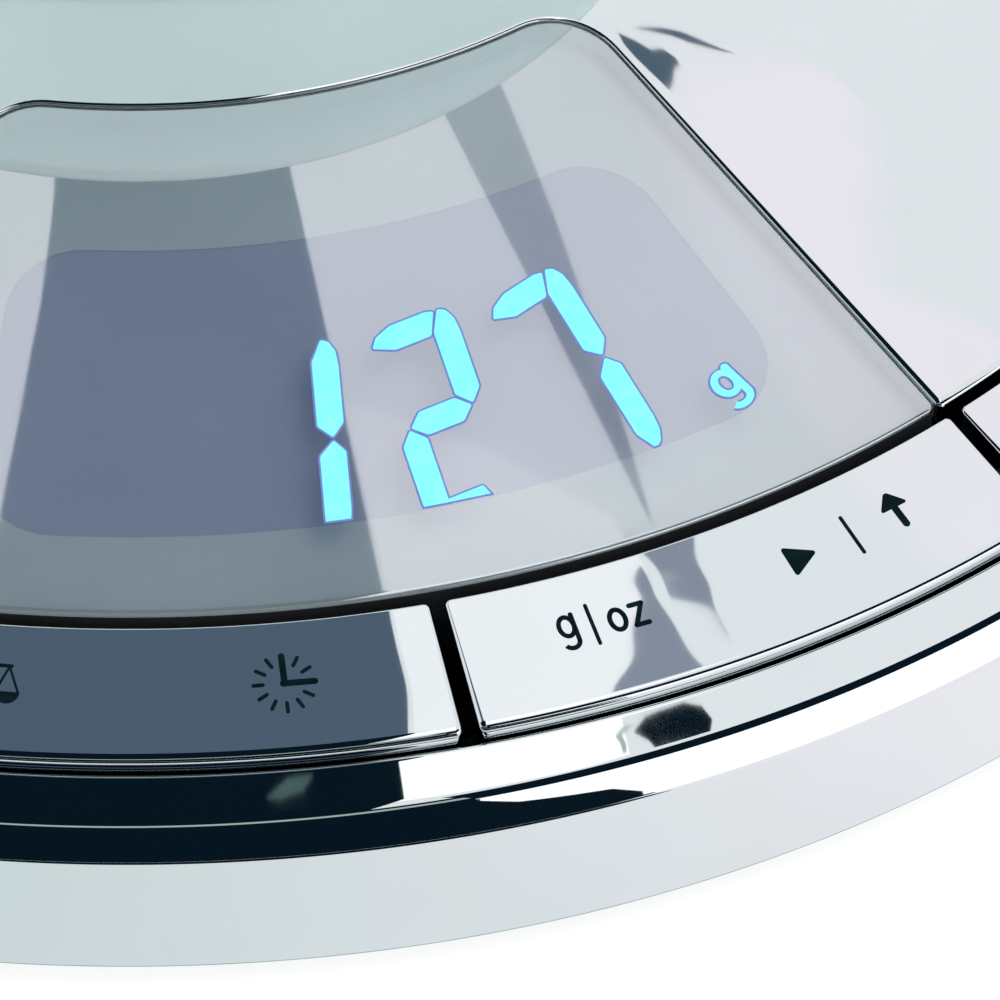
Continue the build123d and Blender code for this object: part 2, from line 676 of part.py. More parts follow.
def board_parts():
    """Controller, sound chip, crystal, regulator and the cable sockets."""
    x, y = BOARD_AT
    top = BOARD_Z + BOARD_T
    chips = [(4, 0, 10, 10, 1.6), (6, -10, 5, 6, 1.5), (10, 8, 4, 8, 2.8), (-4, 9, 4, 4, 3.6)]
    side_sockets = [(-14.25, -10), (-14.25, 11)]
    end_sockets = [(-4, -21), (6, -21), (0, 21)]
    sizes = chips + [(px, py, SOCKET_DEPTH, SOCKET_WIDTH, SOCKET_H) for px, py in side_sockets]
    sizes += [(px, py, SOCKET_WIDTH, SOCKET_DEPTH, SOCKET_H) for px, py in end_sockets]
    parts = []
    for px, py, w, d, h in sizes:
        body = block(x + px - w / 2, x + px + w / 2, y + py - d / 2, y + py + d / 2, top, top + h)
        parts.append(body.solid())
    return Compound(children=parts)


def speaker():
    """Shallow sounder with its magnet on top."""
    x, y = SPEAKER_AT
    basket = tube(SPEAKER_R, 0, PAN_TOP, PAN_TOP + 2.6)
    magnet = tube(SPEAKER_R - 4.5, 0, PAN_TOP + 2.5, PAN_TOP + 5.0)
    return Pos(x, y, 0) * (basket + magnet)


def lead(points, radius, bend):
    """A round wire along straight runs joined by tangent arcs."""
    path = FilletPolyline(*points, radius=bend)
    start = Plane(origin=path @ 0, z_dir=path % 0)
    return sweep(start * Circle(radius), path=path)


def load_cell_lead():
    """From the beam's fixed end, round it, to the left edge of the main board."""
    points = [(-37.5, 0, 13), (-46, 0, 13), (-46, -28, 13), (0, -36, 12), (34, -28, 12), (45, -4, 12)]
    return lead(points, 1.1, 3.0) - block(SIDE_SOCKET_X, 60, -30, 30, 0, 30)


def speaker_lead():
    points = [(-44.5, 18, 9), (-34, 22, 9), (24, 24, 10), (36, 15, 12), (43.3, 15, 12)]
    return lead(points, 0.8, 4.0)


def battery_lead():
    points = [(26.6, 56, 13), (34, 56, 13), (50, 38, 12), (60, 34, 12), (60, 27.4, 12)]
    return lead(points, 0.8, 2.5)


def ribbon(start, end, heights, width, thickness=RIBBON_T):
    """A flat cable that runs straight in plan, with its height given at shares of its length."""
    run = Vector(*end) - Vector(*start)
    lower = [(share * run.length, height) for share, height in heights]
    upper = [(u, height + thickness) for u, height in reversed(lower)]
    face = Plane.XZ * make_face(Polyline(*lower, *upper, close=True))
    cable = Pos(0, width / 2, 0) * extrude(face, width)
    return Pos(start[0], start[1], 0) * Rot(0, 0, degrees(atan2(run.Y, run.X))) * cable


def display_ribbon():
    cable = ribbon((10.0, -57.5), (66.0, -17.0), [(0, 16.0), (0.15, 13.4), (0.8, 13.4), (1, 12.0)], 7.0)
    return cable - block(40, 90, FRONT_SOCKET_Y, 20, 0, 30)


def key_ribbon():
    """From the key board, through a notch in the tray, to the main board."""
    heights = [(0, KEY_RIBBON_Z), (0.86, KEY_RIBBON_Z), (1, 12.0)]
    cable = ribbon(KEY_RIBBON_START, KEY_RIBBON_END, heights, 6.0)
    cable -= block(40, 90, FRONT_SOCKET_Y, 20, 0, 30)
    return cable & tube(KEY_BOARD_IN_R - 0.1, 0, 0, 30)


SUBPARTS = {
    "rim_ring": rim_ring,
    "top_cover": top_cover,
    "ring_trim": ring_trim,
    "left_key": lambda: rocker_key("left"),
    "right_key": lambda: rocker_key("right"),
    "key_tray": key_tray,
    "key_pivot_pins": pivot_pins,
    "key_board": key_board,
    "left_keypad": lambda: keypad("left"),
    "right_keypad": lambda: keypad("right"),
    "window_panel": window_panel,
    "display_film": display_film,
    "display_frame": display_frame,
    "display_light_box": light_box,
    "display_board": display_board,
    "display_leds": display_leds,
    "weighing_glass": weighing_glass,
    "glass_bonding_ring": bonding_ring,
    "platform_hub": platform_hub,
    "hub_screws": hub_screws,
    "carrier_plate": carrier_plate,
    "cell_top_spacer": cell_top_spacer,
    "cell_top_screws": cell_top_screws,
    "load_cell": load_cell,
    "strain_gauges": strain_gauges,
    "cell_base_block": cell_base_block,
    "cell_base_screws": cell_base_screws,
    "overload_stop": overload_stop,
    "base_pan": base_pan,
    "rubber_feet": rubber_feet,
    "case_screws": case_screws,
    "cover_screws": cover_screws,
    "battery_box": battery_box,
    "batteries": batteries,
    "battery_contacts": battery_contacts,
    "battery_door": battery_door,
    "main_board": main_board,
    "board_screws": board_screws,
    "board_parts": board_parts,
    "speaker": speaker,
    "load_cell_lead": load_cell_lead,
    "speaker_lead": speaker_lead,
    "battery_lead": battery_lead,
    "display_ribbon": display_ribbon,
    "key_ribbon": key_ribbon,
}

os.makedirs("parts", exist_ok=True)
for name, make in SUBPARTS.items():
    export_step(make(), f"parts/{name}.step")
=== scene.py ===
from math import asin, atan2, ceil, cos, degrees, hypot, pi, radians, sin, sqrt, tan

import bpy
import numpy as np
from mathutils import Matrix, Vector
from mathutils.geometry import delaunay_2d_cdt


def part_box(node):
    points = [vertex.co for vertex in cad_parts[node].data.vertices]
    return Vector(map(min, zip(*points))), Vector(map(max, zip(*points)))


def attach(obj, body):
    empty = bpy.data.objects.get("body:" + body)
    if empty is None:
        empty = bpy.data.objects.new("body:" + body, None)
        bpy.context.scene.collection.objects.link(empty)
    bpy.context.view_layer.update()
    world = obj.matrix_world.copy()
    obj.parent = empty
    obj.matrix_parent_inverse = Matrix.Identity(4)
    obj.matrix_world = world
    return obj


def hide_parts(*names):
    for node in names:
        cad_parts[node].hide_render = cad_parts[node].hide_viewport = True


# The looks of a round electronic kitchen scale with a mirror-finished conical top.
# The scale's lengths are in millimetres and turn into metres where a mesh is made. The camera's
# and the studio's are in metres.
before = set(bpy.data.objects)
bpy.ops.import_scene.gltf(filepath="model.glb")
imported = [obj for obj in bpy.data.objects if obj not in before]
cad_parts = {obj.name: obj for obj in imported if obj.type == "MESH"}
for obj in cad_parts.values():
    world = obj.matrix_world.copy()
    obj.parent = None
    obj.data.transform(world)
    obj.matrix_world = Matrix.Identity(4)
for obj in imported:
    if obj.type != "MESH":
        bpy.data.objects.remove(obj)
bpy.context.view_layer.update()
MM = 0.001


def high(node, axis):
    """How far a node reaches along an axis, in mm."""
    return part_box(node)[1][axis] / MM


def low(node, axis):
    """Where a node begins along an axis, in mm."""
    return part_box(node)[0][axis] / MM


# ---- Sizes from the frame ----------------------------------------------------------------
OUTER_R = high("rim_ring", 0)
RIM_LOW = low("rim_ring", 2)
RIM_TOP = high("rim_ring", 2)
COVER_R = high("top_cover", 1)
RING_OUT_R = high("ring_trim", 1)
RING_SKIRT_Z = low("left_key", 2)
GLASS_R = high("weighing_glass", 0)
GLASS_LOW, GLASS_TOP = low("weighing_glass", 2), high("weighing_glass", 2)
HUB_TOP_R = high("platform_hub", 0)
HUB_LOW, HUB_TOP = low("platform_hub", 2), high("platform_hub", 2)

# ---- Sizes of the looks, in mm and degrees -----------------------------------------------
FRONT = -90.0                # direction of the control panel's centre line
CONE_RISE = 0.2624           # height gained for each millimetre towards the centre
CONE_EDGE = (89.9, 20.7)     # a radius and the height of the cone there
KEY_IN_R = 90.35
KEY_GAP = 1.1
KEY_SPAN = 26.3
KEY_T = 1.9
KEY_CORNERS = (0.45, 0.55)   # radii towards the centre and at the outside
RING_EDGE_R = RING_OUT_R + 0.38   # the plating rolls over the keys' outer edge
RIM_LIP_R = 100.55
RIM_LIP_Z = RIM_TOP + 0.25
RIM_CREASE = (103.5, RIM_TOP - 2.0)
RIM_CROWN = (104.28, RIM_TOP - 3.255)   # the lower shoulder bulges slightly to here
RIM_WALL_TOP = 12.35
WINDOW_IN_R = 49.5
WINDOW_HALF = 25.8
WINDOW_CORNER = 5.0
FLARE_START_R = 48.5
FLARE_R = 20.0
FLARE_END = 60.0             # its slope where it meets the collar
SHELL_T = 1.8
HUB_R = 34.0
HUB_IN_R = 27.0
HUB_FLOOR_Z = 31.0
HUB_FLARE_Z = (42.6, 44.6)   # where the hub widens
FILM_IN_R = 59.4
FILM_OUT_R = 81.9
FILM_HALF = 22.2
FILM_INSET = 0.8             # its straight sides lie this far inside the radii
FILM_CORNER = 5.5
FILM_FACE_R = 83.3           # where the film seems to end, seen on the window's face
WINDOW_T = 2.0
FILM_TOP = 2.05              # below the window's face
FILM_T = 0.12
PRINT_T = 0.02
MARK_SPACING = 1.2           # of the triangles inside a mark
DIGIT_W = 6.75               # over the strokes
DIGIT_H = 15.9
STROKE = 1.9
DIGIT_R = 77.1
DIGIT_R_STEP = -0.52         # change from one digit to the next
DIGIT_PITCH = 7.75           # angle from one digit to the next
FIRST_DIGIT = -12.6
FIRST_TILT = -11.6           # the digits fan out faster than they follow the window
TILT_STEP = 12.4
DIGIT_SLANT = 10.0
OUTLINE_W = 0.14
UNIT_PLACE = (80.7, 17.6, 14.0)   # radius, angle and tilt of the lit unit

MASK, CLEAR, EDGE, SIDE = range(1, 5)   # the window's materials; 0 is its mirror face
SKY_TINT = (0.965, 0.99, 1.0)
CARD_HEIGHT = 2.0            # of the studio's overhead cards, in metres
FRONT_WALL = -3.5            # y of the cards in front, in metres


def cone_z(radius):
    return CONE_EDGE[1] + (CONE_EDGE[0] - radius) * CONE_RISE


# ---- Scene set-up ------------------------------------------------------------------------
def add_camera():
    """Close-up of the control side from the front left, looking down at 45 degrees."""
    place = Vector((-0.1222, -0.5439, 0.5069))
    target = Vector((0.0118, -0.0638, 0.0015))
    roll = radians(1.43)
    data = bpy.data.cameras.new("camera")
    data.lens = 352.5
    data.sensor_width = 36.0
    camera = bpy.data.objects.new("camera", data)
    bpy.context.scene.collection.objects.link(camera)
    turn = (target - place).to_track_quat("-Z", "Y").to_matrix().to_4x4()
    camera.matrix_world = Matrix.Translation(place) @ turn @ Matrix.Rotation(roll, 4, "Z")
    bpy.context.scene.camera = camera


def link(name, mesh, materials):
    piece = bpy.data.objects.new(name, mesh)
    bpy.context.scene.collection.objects.link(piece)
    for material in materials:
        mesh.materials.append(material)
    return piece


# ---- Materials ---------------------------------------------------------------------------
class Nodes:
    """Short calls for building one material's node tree."""

    def __init__(self, name):
        self.material = bpy.data.materials.new(name)
        self.material.use_nodes = True
        self.tree = self.material.node_tree
        self.shader = self.tree.nodes["Principled BSDF"]

    def add(self, kind, **settings):
        node = self.tree.nodes.new(kind)
        for key, value in settings.items():
            if hasattr(node, key):
                setattr(node, key, value)
            else:
                node.inputs[key.replace("_", " ")].default_value = value
        return node

    def join(self, source, target):
        self.tree.links.new(source, target)

    def noise(self, scale, detail=3.0, roughness=0.5):
        place = self.add("ShaderNodeTexCoord")
        node = self.add("ShaderNodeTexNoise", Scale=scale, Detail=detail, Roughness=roughness)
        self.join(place.outputs["Object"], node.inputs["Vector"])
        return node.outputs["Fac"]

    def ramp(self, value, stops):
        node = self.add("ShaderNodeValToRGB")
        ramp = node.color_ramp
        while len(ramp.elements) < len(stops):
            ramp.elements.new(0.5)
        for element, (place, colour) in zip(ramp.elements, stops):
            element.position = place
            element.color = (*colour, 1.0)
        self.join(value, node.inputs["Fac"])
        return node.outputs["Color"]

    def spread(self, value, low_value, high_value):
        node = self.add("ShaderNodeMapRange")
        node.inputs["To Min"].default_value = low_value
        node.inputs["To Max"].default_value = high_value
        self.join(value, node.inputs["Value"])
        return node.outputs["Result"]

    def bump(self, height, strength, distance, normal=None):
        node = self.add("ShaderNodeBump", Strength=strength, Distance=distance)
        self.join(height, node.inputs["Height"])
        if normal:
            self.join(normal, node.inputs["Normal"])
        return node.outputs["Normal"]

    def set(self, name, value):
        if hasattr(value, "node"):
            self.join(value, self.shader.inputs[name])
        elif isinstance(value, tuple):
            self.shader.inputs[name].default_value = (*value, 1.0)
        else:
            self.shader.inputs[name].default_value = value


def chrome(name, tint, wave=0.02, wave_scale=55.0):
    """Mirror plating with a slow waviness and a faint wiping haze."""
    n = Nodes(name)
    slow = n.noise(wave_scale, 1.0)
    haze = n.noise(28.0, 4.0, 0.6)
    low_tint = tuple(0.965 * part for part in tint)
    n.set("Metallic", 1.0)
    n.set("Base Color", n.ramp(haze, [(0.35, low_tint), (0.65, tint)]))
    n.set("Roughness", n.spread(n.noise(240.0, 5.0, 0.7), 0.004, 0.024))
    n.set("Normal", n.bump(slow, wave, 0.0012))
    return n.material


def plastic(name, colour, rough=0.45, grain=1500.0, depth=0.15):
    """Moulded plastic with a fine spark-eroded grain."""
    n = Nodes(name)
    lighter = tuple(min(1.0, 1.12 * part + 0.003) for part in colour)
    n.set("Base Color", n.ramp(n.noise(60.0, 5.0), [(0.3, colour), (0.75, lighter)]))
    n.set("Roughness", n.spread(n.noise(grain / 4, 2.0), rough - 0.06, rough + 0.08))
    n.set("Normal", n.bump(n.noise(grain, 2.0), depth, 0.0002))
    return n.material


def metal(name, colour, rough=0.3, grain=500.0):
    """Bare metal with a rolled or turned finish."""
    n = Nodes(name)
    darker = tuple(0.85 * part for part in colour)
    n.set("Metallic", 1.0)
    n.set("Base Color", n.ramp(n.noise(90.0, 4.0), [(0.3, darker), (0.7, colour)]))
    n.set("Roughness", n.spread(n.noise(grain), rough - 0.08, rough + 0.1))
    n.set("Normal", n.bump(n.noise(grain), 0.1, 0.0002))
    return n.material


def window_material():
    """Half-mirrored acrylic: part of the light is reflected and the rest shows the display."""
    n = Nodes("half_mirror")
    n.set("Metallic", 1.0)
    haze = n.noise(30.0, 4.0)
    n.set("Base Color", n.ramp(haze, [(0.3, (0.69, 0.71, 0.75)), (0.7, (0.71, 0.73, 0.77))]))
    n.set("Roughness", n.spread(n.noise(260.0, 5.0, 0.7), 0.01, 0.035))
    n.set("Normal", n.bump(n.noise(40.0, 1.0), 0.01, 0.0012))
    n.set("Alpha", 0.52)
    return n.material


def clear_material():
    """The window's polished underside in front of the display."""
    n = Nodes("clear_acrylic")
    haze = n.noise(30.0, 4.0)
    n.set("Base Color", n.ramp(haze, [(0.3, (0.92, 0.95, 0.95)), (0.7, (0.96, 0.97, 0.97))]))
    n.set("Roughness", 0.05)
    n.set("Alpha", 0.03)
    return n.material


def frosted_glass():
    """Green-tinted glass with a satin surface that lets diffuse light through."""
    n = Nodes("frosted_glass_look")
    cloud = n.noise(45.0)
    n.set("Base Color", n.ramp(cloud, [(0.3, (0.80, 0.92, 0.90)), (0.7, (0.85, 0.97, 0.95))]))
    n.set("Roughness", n.spread(n.noise(900.0), 0.32, 0.46))
    n.set("Transmission Weight", 0.9)
    n.set("IOR", 1.3)
    n.set("Normal", n.bump(n.noise(2200.0, 2.0), 0.08, 0.0001))
    return n.material


def print_ink():
    """Dark teal printing on the plated keys."""
    n = Nodes("print_ink")
    fleck = n.noise(700.0)
    n.set("Base Color", n.ramp(fleck, [(0.3, (0.002, 0.006, 0.008)), (0.7, (0.004, 0.012, 0.015))]))
    n.set("Roughness", n.spread(n.noise(1200.0, 2.0), 0.55, 0.7))
    n.set("Specular IOR Level", 0.0)
    return n.material


def glow(name, colour, strength, edge):
    """Lit display ink, a little uneven."""
    n = Nodes(name)
    n.set("Base Color", (0.02, 0.05, 0.06))
    n.set("Roughness", 0.6)
    n.set("Emission Color", n.ramp(n.noise(900.0, 2.0), [(0.3, edge), (0.6, colour)]))
    n.set("Emission Strength", strength)
    return n.material


def light_card(name, colour, strength=1.0):
    """A card that gives light and reflects none."""
    n = Nodes(name)
    n.set("Base Color", (0.0, 0.0, 0.0))
    n.set("Specular IOR Level", 0.0)
    n.set("Emission Color", colour)
    n.set("Emission Strength", strength)
    return n.material


def floor_tint():
    """The floor as the rim's wall mirrors it: greener at the left, brighter at the right."""
    n = Nodes("floor_tint")
    n.set("Base Color", (0.0, 0.0, 0.0))
    n.set("Specular IOR Level", 0.0)
    n.set("Emission Strength", 1.0)
    place = n.add("ShaderNodeTexCoord")
    parts = n.add("ShaderNodeSeparateXYZ")
    across = n.add("ShaderNodeMapRange", From_Min=-0.04, From_Max=0.045)
    n.join(place.outputs["Object"], parts.inputs["Vector"])
    n.join(parts.outputs["X"], across.inputs["Value"])
    stops = [(0.0, (0.88, 0.97, 0.965)), (1.0, (1.18, 1.14, 1.17))]
    n.set("Emission Color", n.ramp(across.outputs["Result"], stops))
    return n.material


# ---- Outlines, as lists of (x, y) that keep the material on their left --------------------
def arc_points(centre, radius, start, end, step=0.5):
    """Points along an arc between two directions in degrees."""
    count = max(2, ceil(abs(end - start) / step))
    turns = [radians(start + (end - start) * k / count) for k in range(count + 1)]
    return [(centre[0] + radius * cos(a), centre[1] + radius * sin(a)) for a in turns]


def circle(radius, count=720):
    return [(radius * cos(2 * pi * k / count), radius * sin(2 * pi * k / count)) for k in range(count)]


def sector_outline(inner, outer, start, end, gap=0.0, inner_corner=0.5, outer_corner=0.5):
    """A piece of a ring with rounded corners. Its ends are parallel to radii, a gap away."""

    def corner(side, radius, round_r, outside):
        far = radius - round_r if outside else radius + round_r
        lean = degrees(asin((gap + round_r) / far))
        turn = start + lean if side < 0 else end - lean
        centre = (far * cos(radians(turn)), far * sin(radians(turn)))
        wall = start - 90.0 if side < 0 else end + 90.0
        rim = turn if outside else turn + 180.0
        if (side < 0) != outside:
            wall, rim = rim, wall
        while rim < wall:
            rim += 360.0
        while rim - wall > 180.0:
            rim -= 360.0
        return arc_points(centre, round_r, wall, rim, 9.0), turn

    inner_start, a = corner(-1, inner, inner_corner, False)
    outer_start, b = corner(-1, outer, outer_corner, True)
    outer_end, c = corner(1, outer, outer_corner, True)
    inner_end, d = corner(1, inner, inner_corner, False)
    outline = inner_start + outer_start
    outline += arc_points((0, 0), outer, b, c)[1:-1]
    outline += outer_end + inner_end
    outline += arc_points((0, 0), inner, d, a)[1:-1]
    return outline


def moved_in(outline, distances):
    """The outline with its edges moved into the material, and the outward direction at each point."""
    points = np.array(outline)
    along = np.roll(points, -1, 0) - points
    side = np.stack([along[:, 1], -along[:, 0]], 1)
    side /= np.linalg.norm(side, axis=1, keepdims=True)
    both = side + np.roll(side, 1, 0)
    reach = np.maximum(0.5 * (both**2).sum(1, keepdims=True), 0.3)
    out = both / np.linalg.norm(both, axis=1, keepdims=True)
    return points - both / reach * np.array(distances).reshape(-1, 1), out


def within(points, loops):
    """Which points lie inside the area between the outlines."""
    inside = np.zeros(len(points), bool)
    x, y = points[:, 0], points[:, 1]
    for loop in loops:
        ring = np.array(loop)
        for (x0, y0), (x1, y1) in zip(ring, np.roll(ring, -1, 0)):
            if y0 == y1:
                continue
            crosses = ((y0 > y) != (y1 > y)) & (x < (x1 - x0) * (y - y0) / (y1 - y0) + x0)
            inside ^= crosses
    return inside


def polar_grid(outline, spacing):
    """Points on rings round the axis that cover an outline's box."""
    radii = np.hypot(outline[:, 0], outline[:, 1])
    nearest = radii.min()
    low_x, low_y = outline.min(0)
    high_x, high_y = outline.max(0)
    if low_x < 0 < high_x and low_y < 0 < high_y:
        nearest = 0.0
    rings = []
    for radius in np.arange(nearest + spacing / 2, radii.max(), spacing):
        count = max(8, int(2 * pi * radius / spacing))
        turns = 2 * pi * np.arange(count) / count
        rings.append(np.stack([radius * np.cos(turns), radius * np.sin(turns)], 1))
    points = np.concatenate(rings) if rings else np.zeros((0, 2))
    x, y = points[:, 0], points[:, 1]
    return points[(x > low_x) & (x < high_x) & (y > low_y) & (y < high_y)]


def filled(loops, spacing):
    """Points and triangles over the area between outlines, with inner points on a polar grid."""
    outer = np.array(loops[0])
    rim = [tuple(p) for loop in loops for p in loop]
    edges, first = [], 0
    for loop in loops:
        count = len(loop)
        edges += [(first + k, first + (k + 1) % count) for k in range(count)]
        first += count
    grid = polar_grid(outer, spacing)
    grid = grid[within(grid, loops)]
    rims = np.array(rim)
    clear = [np.min(np.hypot(*(rims - p).T)) > 0.25 * spacing for p in grid]
    grid = [tuple(p) for p in grid[np.array(clear, bool)]]
    coords = [Vector(p) for p in rim + grid]
    verts, _, faces, origins, _, _ = delaunay_2d_cdt(coords, edges, [], 0, 1e-7)
    places = np.array([tuple(v) for v in verts])
    middles = places[np.array(faces)].mean(1)
    kept = [face for face, ok in zip(faces, within(middles, loops)) if ok]
    index = [origin[0] for origin in origins]
    return rim + grid, [[index[k] for k in face] for face in kept]


# ---- Surfaces: height and direction at (x, y) --------------------------------------------
def on_cone(depth=0.0):
    lean = sqrt(1 + CONE_RISE**2)

    def surface(x, y):
        radius = max(hypot(x, y), 1e-6)
        normal = (CONE_RISE * x / radius / lean, CONE_RISE * y / radius / lean, 1 / lean)
        return cone_z(radius) - depth, normal

    return surface


class Shape:
    """A mesh in the making, with a direction for every face corner."""

    def __init__(self):
        self.points, self.faces, self.normals, self.groups = [], [], [], []

    def add_points(self, points):
        first = len(self.points)
        self.points += [tuple(p) for p in points]
        return first

    def face(self, corners, normals, group=0):
        self.faces.append(corners)
        self.normals += normals
        self.groups.append(group)

    def band(self, first, second, count, normals_a, normals_b, group=0):
        """Faces between two closed rows of points that run side by side."""
        for k in range(count):
            j = (k + 1) % count
            corners = [first + k, first + j, second + j, second + k]
            self.face(corners, [normals_a[k], normals_a[j], normals_b[j], normals_b[k]], group)

    def piece(self, name, materials):
        """Makes the object, with points in the same place shared and empty faces dropped."""
        shared, index = {}, []
        for p in self.points:
            index.append(shared.setdefault(tuple(round(c, 4) for c in p), len(shared)))
        faces, normals, groups, at = [], [], [], 0
        for corners, group in zip(self.faces, self.groups):
            directions = self.normals[at:at + len(corners)]
            at += len(corners)
            places = [index[c] for c in corners]
            kept = [k for k in range(len(places)) if places[k] != places[k - 1]]
            if len(kept) > 2:
                faces.append([places[k] for k in kept])
                normals += [tuple(directions[k]) for k in kept]
                groups.append(group)
        mesh = bpy.data.meshes.new(name)
        mesh.from_pydata([[c * MM for c in p] for p in shared], [], faces)
        mesh.polygons.foreach_set("material_index", groups)
        mesh.polygons.foreach_set("use_smooth", [True] * len(faces))
        mesh.normals_split_custom_set(normals)
        return link(name, mesh, materials)


def unit(v):
    length = sqrt(sum(c * c for c in v)) or 1.0
    return tuple(c / length for c in v)


def add_plate(
    shape, loops, surface, thickness, bevel=0.25, steps=5, spacing=3.0, skirt=None, wall=0.4, side_group=0,
    under_parts=None,
):
    """A plate under a surface, with a quarter-round edge and, if asked for, a skirt below its rim.

    The underside is made of the given parts, each with its outlines and its material's number.
    """
    last_rows = []
    tops = []
    for loop in loops:
        sizes = [bevel(x, y) if callable(bevel) else bevel for x, y in loop]
        rows = []
        for k in range(steps + 1):
            phi = 0.5 * pi * k / steps
            flat, out = moved_in(loop, [b * (1 - sin(phi)) for b in sizes])
            points, normals = [], []
            for (x, y), b, (ox, oy) in zip(flat, sizes, out):
                z, up = surface(x, y)
                points.append((x, y, z - b * (1 - cos(phi))))
                normals.append(unit([u * cos(phi) + o * sin(phi) for u, o in zip(up, (ox, oy, 0.0))]))
            rows.append((shape.add_points(points), normals))
            if k == 0:
                tops.append(flat)
        for (a, na), (b, nb) in zip(rows, rows[1:]):
            shape.band(b, a, len(loop), nb, na)
        outward = [(ox, oy, 0.0) for ox, oy in out]
        inward = [(-ox, -oy, 0.0) for ox, oy in out]
        down = [(0.0, 0.0, -1.0)] * len(loop)
        ends = []
        if skirt is None:
            ends.append(([(x, y, surface(x, y)[0] - thickness) for x, y in loop], outward, outward))
            under = loop
        else:
            under, _ = moved_in(loop, [wall] * len(loop))
            ends.append(([(x, y, skirt) for x, y in loop], outward, outward))
            ends.append(([(x, y, skirt) for x, y in under], down, down))
            ends.append(([(x, y, surface(x, y)[0] - thickness) for x, y in under], inward, inward))
        previous = rows[-1][0]
        for points, normals_a, normals_b in ends:
            row = shape.add_points(points)
            shape.band(row, previous, len(loop), normals_b, normals_a, group=side_group)
            previous = row
        last_rows.append([tuple(p) for p in under])
    add_sheet(shape, tops, surface, 0.0, 1, spacing, 0)
    for part_loops, part_group in under_parts or [(last_rows, side_group)]:
        add_sheet(shape, part_loops, surface, thickness, -1, spacing, part_group)


def add_sheet(shape, loops, surface, depth, sign, spacing, group):
    """One face of a plate: the area between outlines, seen from above (sign 1) or below (-1)."""
    flat, faces = filled([[tuple(p) for p in loop] for loop in loops], spacing)
    heights = [surface(x, y) for x, y in flat]
    first = shape.add_points([(x, y, z - depth) for (x, y), (z, _) in zip(flat, heights)])
    for face in faces:
        (x0, y0), (x1, y1), (x2, y2) = (flat[k] for k in face)
        turned = (x1 - x0) * (y2 - y0) - (x2 - x0) * (y1 - y0)
        ordered = face if turned * sign > 0 else face[::-1]
        normals = [tuple(sign * c for c in heights[k][1]) for k in ordered]
        shape.face([first + k for k in ordered], normals, group)


def profile_runs(corners):
    """Straight and rounded runs of a closed turned outline, from (radius, height, rounding) corners."""
    runs, spans = [], []
    count = len(corners)
    for k in range(count):
        (x0, y0, _), (x, y, size), (x1, y1, _) = corners[k - 1], corners[k], corners[(k + 1) % count]
        into, away = unit((x - x0, y - y0)), unit((x1 - x, y1 - y))
        turn = atan2(into[0] * away[1] - into[1] * away[0], into[0] * away[0] + into[1] * away[1])
        spans.append(((x, y), into, away, turn, size, size * abs(tan(turn / 2))))
    for k in range(count):
        (x, y), into, away, turn, size, cut = spans[k]
        if size:
            runs += rounded_run((x - into[0] * cut, y - into[1] * cut), into, turn, size)
        (next_x, next_y), _, _, _, _, next_cut = spans[(k + 1) % count]
        start = (x + away[0] * cut, y + away[1] * cut)
        end = (next_x - away[0] * next_cut, next_y - away[1] * next_cut)
        normal = (away[1], -away[0])
        runs.append((start, normal, end, normal))
    return runs


def rounded_run(start, into, turn, size):
    """Short runs along an arc that leaves start in the direction into."""
    side = 1 if turn > 0 else -1
    centre = (start[0] - side * into[1] * size, start[1] + side * into[0] * size)
    steps = max(4, ceil(degrees(abs(turn)) / 6))
    stops = []
    for k in range(steps + 1):
        angle = turn * k / steps
        heading = (
            into[0] * cos(angle) - into[1] * sin(angle),
            into[0] * sin(angle) + into[1] * cos(angle),
        )
        normal = (heading[1], -heading[0])
        stops.append(((centre[0] + side * normal[0] * size, centre[1] + side * normal[1] * size), normal))
    return [(*a, *b) for a, b in zip(stops, stops[1:])]


def add_turned(shape, runs, segments=360):
    """Turns profile runs round the Z axis. Their outside is on the right of the way they run."""
    turns = [(cos(2 * pi * k / segments), sin(2 * pi * k / segments)) for k in range(segments)]
    for (r0, z0), (a0, b0), (r1, z1), (a1, b1) in runs:
        if max(r0, r1) < 1e-6:
            continue
        first = shape.add_points([(r0 * c, r0 * s, z0) for c, s in turns])
        second = shape.add_points([(r1 * c, r1 * s, z1) for c, s in turns])
        normals_0 = [(a0 * c, a0 * s, b0) for c, s in turns]
        normals_1 = [(a1 * c, a1 * s, b1) for c, s in turns]
        shape.band(first, second, segments, normals_0, normals_1)


# ---- Chrome pieces -----------------------------------------------------------------------
def finish_piece(shape, name, materials, body, slot, *nodes):
    piece = shape.piece(name, materials)
    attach(piece, body)
    if nodes:
        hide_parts(*nodes)
    return piece


def rim(material):
    """Upright wall with a rolled foot, two shoulder faces that meet in a crease, and an inner lip.

    The lower shoulder face is slightly crowned.
    """
    corners = [
        (OUTER_R - 2.4, RIM_LOW + 0.5, 0.1),
        (OUTER_R - 1.9, RIM_LOW, 0.2),
        (OUTER_R, RIM_LOW, 0.75),
        (OUTER_R, RIM_WALL_TOP, 1.1),
        (*RIM_CROWN, 38.0),
        (*RIM_CREASE, 2.2),
        (RIM_LIP_R, RIM_LIP_Z, 0.35),
        (RIM_LIP_R, RIM_TOP - 1.95, 0.1),
        (102.6, RIM_TOP - 3.2, 0.3),
        (OUTER_R - 2.4, RIM_TOP - 6.1, 0.3),
    ]
    shape = Shape()
    add_turned(shape, profile_runs(corners), 720)
    return finish_piece(shape, "chrome_rim", [material], "base", "chrome_shell", "rim_ring")


